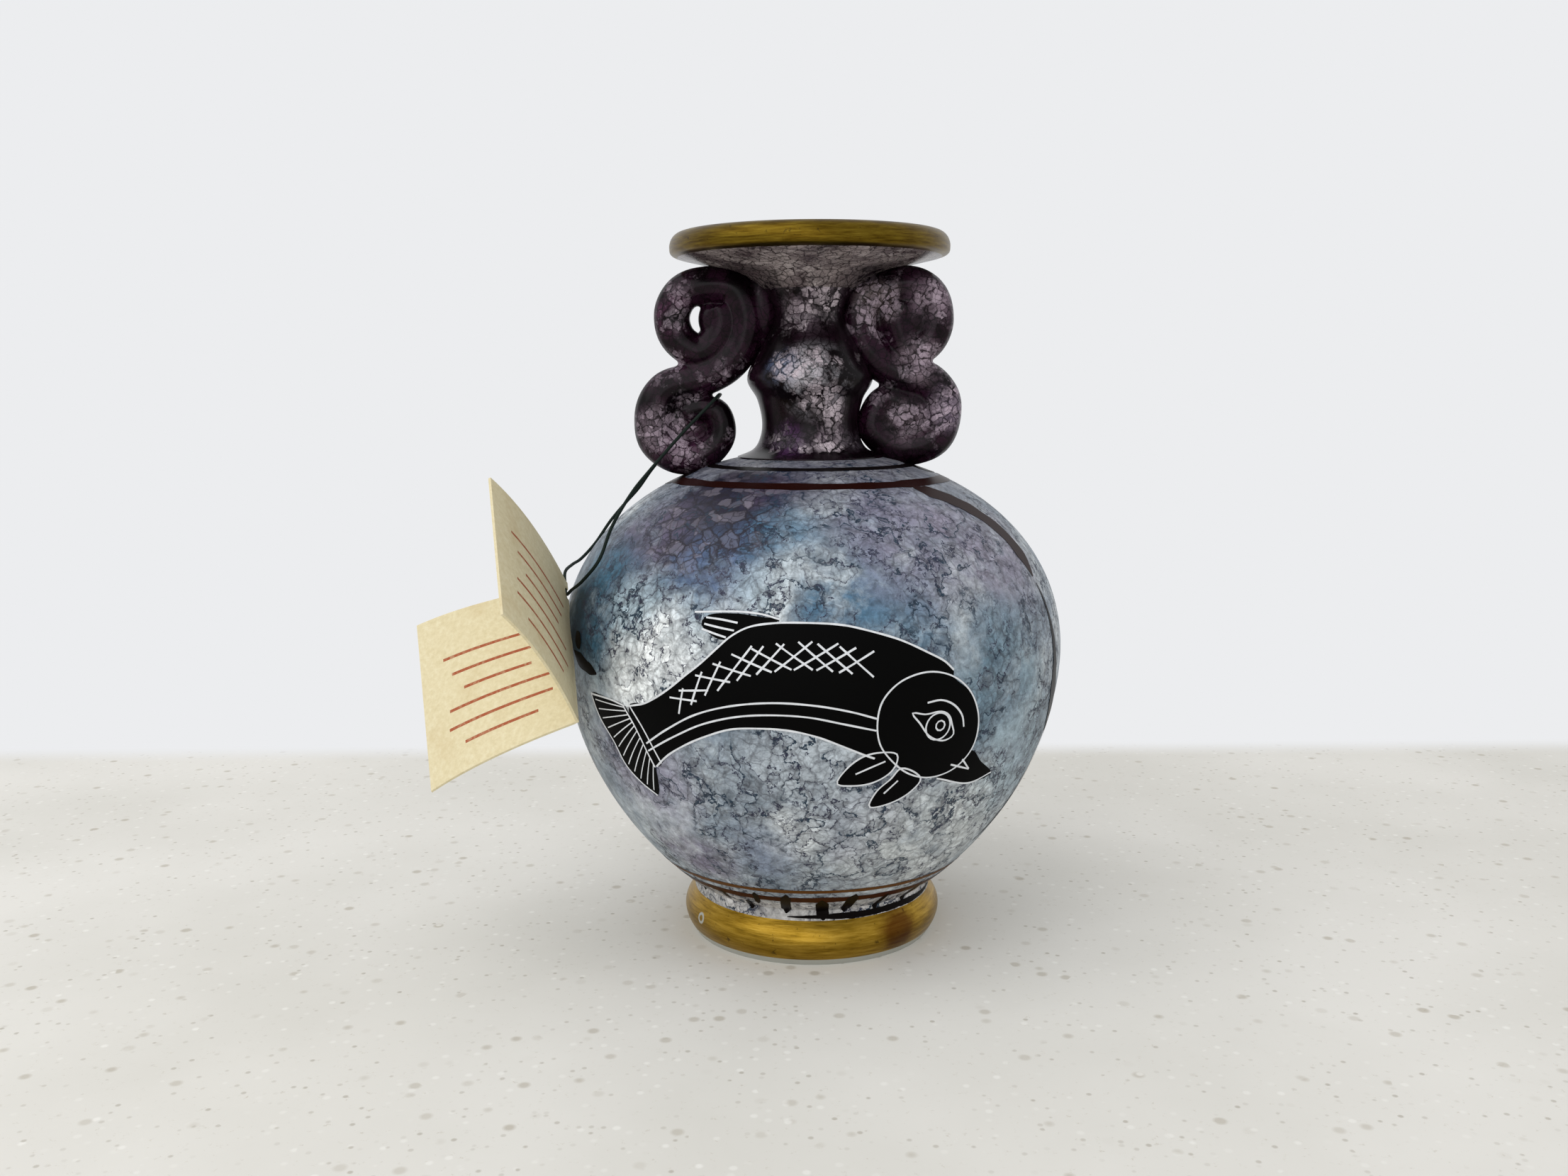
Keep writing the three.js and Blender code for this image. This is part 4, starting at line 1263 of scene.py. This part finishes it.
def ruled_card():
    """Matt cream card, foxed and rubbed, with thin rust rules across its ruled side.

    The sheet coordinates are metres across and up the ruled side, and 0 elsewhere.
    """
    finish = Finish("cream_card")
    add = finish.add
    stops = [(0.3, "#d0c39b"), (0.5, "#d9cda8"), (0.7, "#e1d8b8")]
    colour, fibre = clouded(finish, finish.place, 0.9, 6, 0.7, stops)
    foxing = speckled(finish, finish.place, 9, 5, 0.5, (0.55, 0.75), (0, 0.5))

    sheet = add("UVMap", uv_map="sheet")
    across, up = add("SeparateXYZ", {0: sheet}).outputs[:2]
    rows = add("Math", {0: up, 1: RULE_SPACING * MM}, operation="DIVIDE")
    row = add("Math", {0: rows}, operation="FLOOR")
    lot = add("TexWhiteNoise", {"W": row}, noise_dimensions="1D")
    limits = {"Value": lot, "To Min": RULE_REACH[0] * MM, "To Max": RULE_REACH[1] * MM}
    ends = add("MapRange", limits)
    within = add("Math", {0: rows}, operation="FRACT")
    middle, width = LEAF_WIDE * RULE_MIDDLE, RULE_WIDTH / RULE_SPACING
    inked = add("Math", {0: within, 1: 0.5, 2: width / 2}, operation="COMPARE")
    limits = {"Value": fibre, "From Min": 0.25, "From Max": 0.5, "To Min": 0.45}
    for factor in (
        add("Math", {0: across, 1: middle * MM, 2: ends}, operation="COMPARE"),
        add("Math", {0: up, 1: RULE_SPACING * MM}, operation="GREATER_THAN"),
        add("Math", {0: up, 1: (LEAF_LONG - RULE_TOP) * MM}, operation="LESS_THAN"),
        add("MapRange", limits),
    ):
        inked = add("Math", {0: inked, 1: factor}, operation="MULTIPLY")
    for share, code in ((foxing, "#c4ad7e"), (inked, "#a1512f")):
        inputs = {0: share, 6: colour, 7: linear(code)}
        colour = add("Mix", inputs, data_type="RGBA").outputs[2]
    return finish.surface(colour, 0.85, relief=(fibre, 0.05, 0.5))


def card_crease(finish):
    """The bent strip between the leaves, open where the hole cuts through the fold."""
    opening = math.degrees(LEAF_OPENING)
    turn = Matrix.Rotation(LEAF_OPENING, 2)
    inner = CREASE_INSIDE
    section = [
        (FOLD_SETBACK, 0),
        (inner, inner / 4),
        (0, 0),
        (inner * math.cos(LEAF_OPENING), inner * math.sin(LEAF_OPENING)),
        tuple(turn @ Vector((FOLD_SETBACK, 0))),
        tuple(turn @ Vector((FOLD_SETBACK, CARD))),
    ]
    for i in range(CREASE_BENDS):
        angle = math.radians(opening + 90 + (180 - opening) * i / (CREASE_BENDS - 1))
        section.append((CARD * math.cos(angle), CARD * math.sin(angle)))
    section.append((FOLD_SETBACK, -CARD))
    notch = math.sqrt(HOLE_RADIUS**2 - FOLD_SETBACK**2) + CREASE_NOTCH_PLAY
    made = bmesh.new()
    matrix = leaf_matrix(0)
    for top, bottom in ((0, -HOLE_DROP + notch), (-HOLE_DROP - notch, -LEAF_LONG)):
        steps = max(1, round((top - bottom) / CREASE_ROW))
        rows = []
        for i in range(steps + 1):
            z = top + (bottom - top) * i / steps
            sag = BACK_LEAF_TWIST * (FOLD_SETBACK / LEAF_WIDE) * (z / LEAF_LONG)
            row = []
            for k, (x, y) in enumerate(section):
                shift = sag if k in (0, len(section) - 1) else 0
                row.append(made.verts.new(matrix @ Vector((x, y + shift, z)) * MM))
            rows.append(row + row[:1])
        join_rows(made, rows)
        made.faces.new(rows[0][:-1])
        made.faces.new(rows[-1][:-1])
    bmesh.ops.recalc_face_normals(made, faces=made.faces)
    crease = finished("card_crease", made, [finish], None, "tag_card")
    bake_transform(crease)
    return crease


def tag_pieces():
    card = ruled_card()
    back = card_leaf(
        "card_back_leaf", 0, -CARD, BACK_LEAF_TWIST, card, "hung_tag", "tag_back_leaf"
    )
    front = card_leaf(
        "card_front_leaf", LEAF_OPENING, 0, FRONT_LEAF_TWIST, card, "tag_flap", "tag_front_leaf"
    )
    crease = card_crease(card)
    coat = plain("dark_coated_wire", "#1d2622", 0.45, 0.1)
    line = evenly(through(WIRE_ROUTE), WIRE_SPACING)
    wire = tube("wire_loop", line, [WIRE_DIAMETER / 2] * len(line), 12)
    wire.data.materials.append(coat)
    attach(wire, "hung_tag")
    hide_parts("tag_wire")


# The surroundings, in metres. The floor shows as the wall from near to far behind the axis.
WALL = "#ecedef"
WALL_NEAR, WALL_FAR = 0.118, 0.136
SKY_STRENGTH = 0.8
# The floor's grit (span of its noise, share, colour) and chips (size, share left plain, colour)
FLOOR_HALF = 3
FLOOR_GRIT = [(0.6, 0.68, 0.5, "#b3aa98"), (0.35, 0.28, 0.45, "#efeeea")]
FLOOR_CHIPS = [(4, 0.72, "#aaa18f"), (2.4, 0.6, "#f2f1ec"), (1.7, 0.7, "#a39b8c")]
FOCAL_LENGTH = 32.55
CAMERA_PLACE = (-0.00502, -0.2642, 0.10288)
CAMERA_DOWN = 0.1428
CAMERA_ROLL = -0.0063
# Lamps: name, place, what they shine at, width and power
LAMPS = [
    ("window", (-0.42, -0.35, 0.65), (0, 0, 0.05), 0.9, 2.2),
    ("room", (-0.1, -0.8, 0.3), (0, 0, 0.06), 0.6, 1),
]


def looked_at(finish):
    """1 for rays that show the surroundings: from the camera, off gloss and through glass."""
    path = finish.add("LightPath")
    share = path.outputs["Is Camera Ray"]
    for other in ("Is Glossy Ray", "Is Transmission Ray"):
        share = finish.add("Math", {0: share, 1: path.outputs[other]}, operation="MAXIMUM")
    return share


def stone_floor():
    """Pale honed stone with fine grit. Past the back edge it shows as the white wall."""
    finish = Finish("pale_stone_floor")
    add = finish.add
    stops = [(0.35, "#dad8d1"), (0.65, "#e4e2dc")]
    colour, _ = clouded(finish, finish.place, 70, 5, 0.5, stops)
    layers = []
    for low, high, most, code in FLOOR_GRIT:
        share = speckled(finish, finish.place, 1.6, 6, 0.8, (low, high), (0, most))
        layers.append((share, code))
    for size, low, code in FLOOR_CHIPS:
        chips = add("TexVoronoi", {"Vector": finish.place, "Scale": grain(size)})
        near = add("MapRange", {"Value": chips, "From Min": 0.3, "From Max": 0.16})
        lot = add("SeparateColor", {0: chips.outputs["Color"]})
        lot = add("MapRange", {"Value": lot, "From Min": low, "To Max": 0.6})
        layers.append((add("Math", {0: near, 1: lot}, operation="MULTIPLY"), code))
    for share, code in layers:
        inputs = {0: share, 6: colour, 7: linear(code)}
        colour = add("Mix", inputs, data_type="RGBA").outputs[2]
    stone = add("BsdfPrincipled", {"Base Color": colour, "Roughness": 0.75})
    wall = add("Emission", {"Color": linear(WALL), "Strength": 1.0})
    depth = add("SeparateXYZ", {0: finish.place}).outputs["Y"]
    limits = {"Value": depth, "From Min": WALL_NEAR, "From Max": WALL_FAR}
    behind = add("MapRange", limits, **SMOOTH)
    share = add("Math", {0: behind, 1: looked_at(finish)}, operation="MULTIPLY")
    return finish.close(add("MixShader", {0: share, 1: stone, 2: wall}))


def surroundings():
    made = bmesh.new()
    bmesh.ops.create_grid(made, x_segments=1, y_segments=1, size=FLOOR_HALF)
    ground = mesh_object("floor", made, [stone_floor()])

    world = Finish("studio", "worlds")
    light = world.add("Background", {"Color": (1, 1, 1, 1), "Strength": SKY_STRENGTH})
    wall = world.add("Background", {"Color": linear(WALL), "Strength": 1.0})
    shown = world.add("MixShader", {0: looked_at(world), 1: light, 2: wall})
    bpy.context.scene.world = world.close(shown, "OutputWorld")


def lamp(name, place, aim, size, power):
    light = bpy.data.lights.new(name, "AREA")
    light.shape = "DISK"
    light.size = size
    light.energy = power
    holder = placed(name, light)
    holder.location = place
    holder.rotation_euler = (Vector(aim) - Vector(place)).to_track_quat("-Z", "Y").to_euler()


def camera():
    lens = bpy.data.cameras.new("camera")
    lens.lens = FOCAL_LENGTH
    lens.sensor_width = 36
    lens.clip_start = 0.01
    eye = placed("camera", lens)
    tilt = Matrix.Rotation(math.pi / 2 - CAMERA_DOWN, 4, "X")
    roll = Matrix.Rotation(CAMERA_ROLL, 4, "Z")
    eye.matrix_world = Matrix.Translation(CAMERA_PLACE) @ tilt @ roll
    bpy.context.scene.camera = eye


camera()
bpy.context.scene.view_settings.view_transform = "Standard"
surroundings()
for settings in LAMPS:
    lamp(*settings)
vase_pieces()
decoration()
tag_pieces()
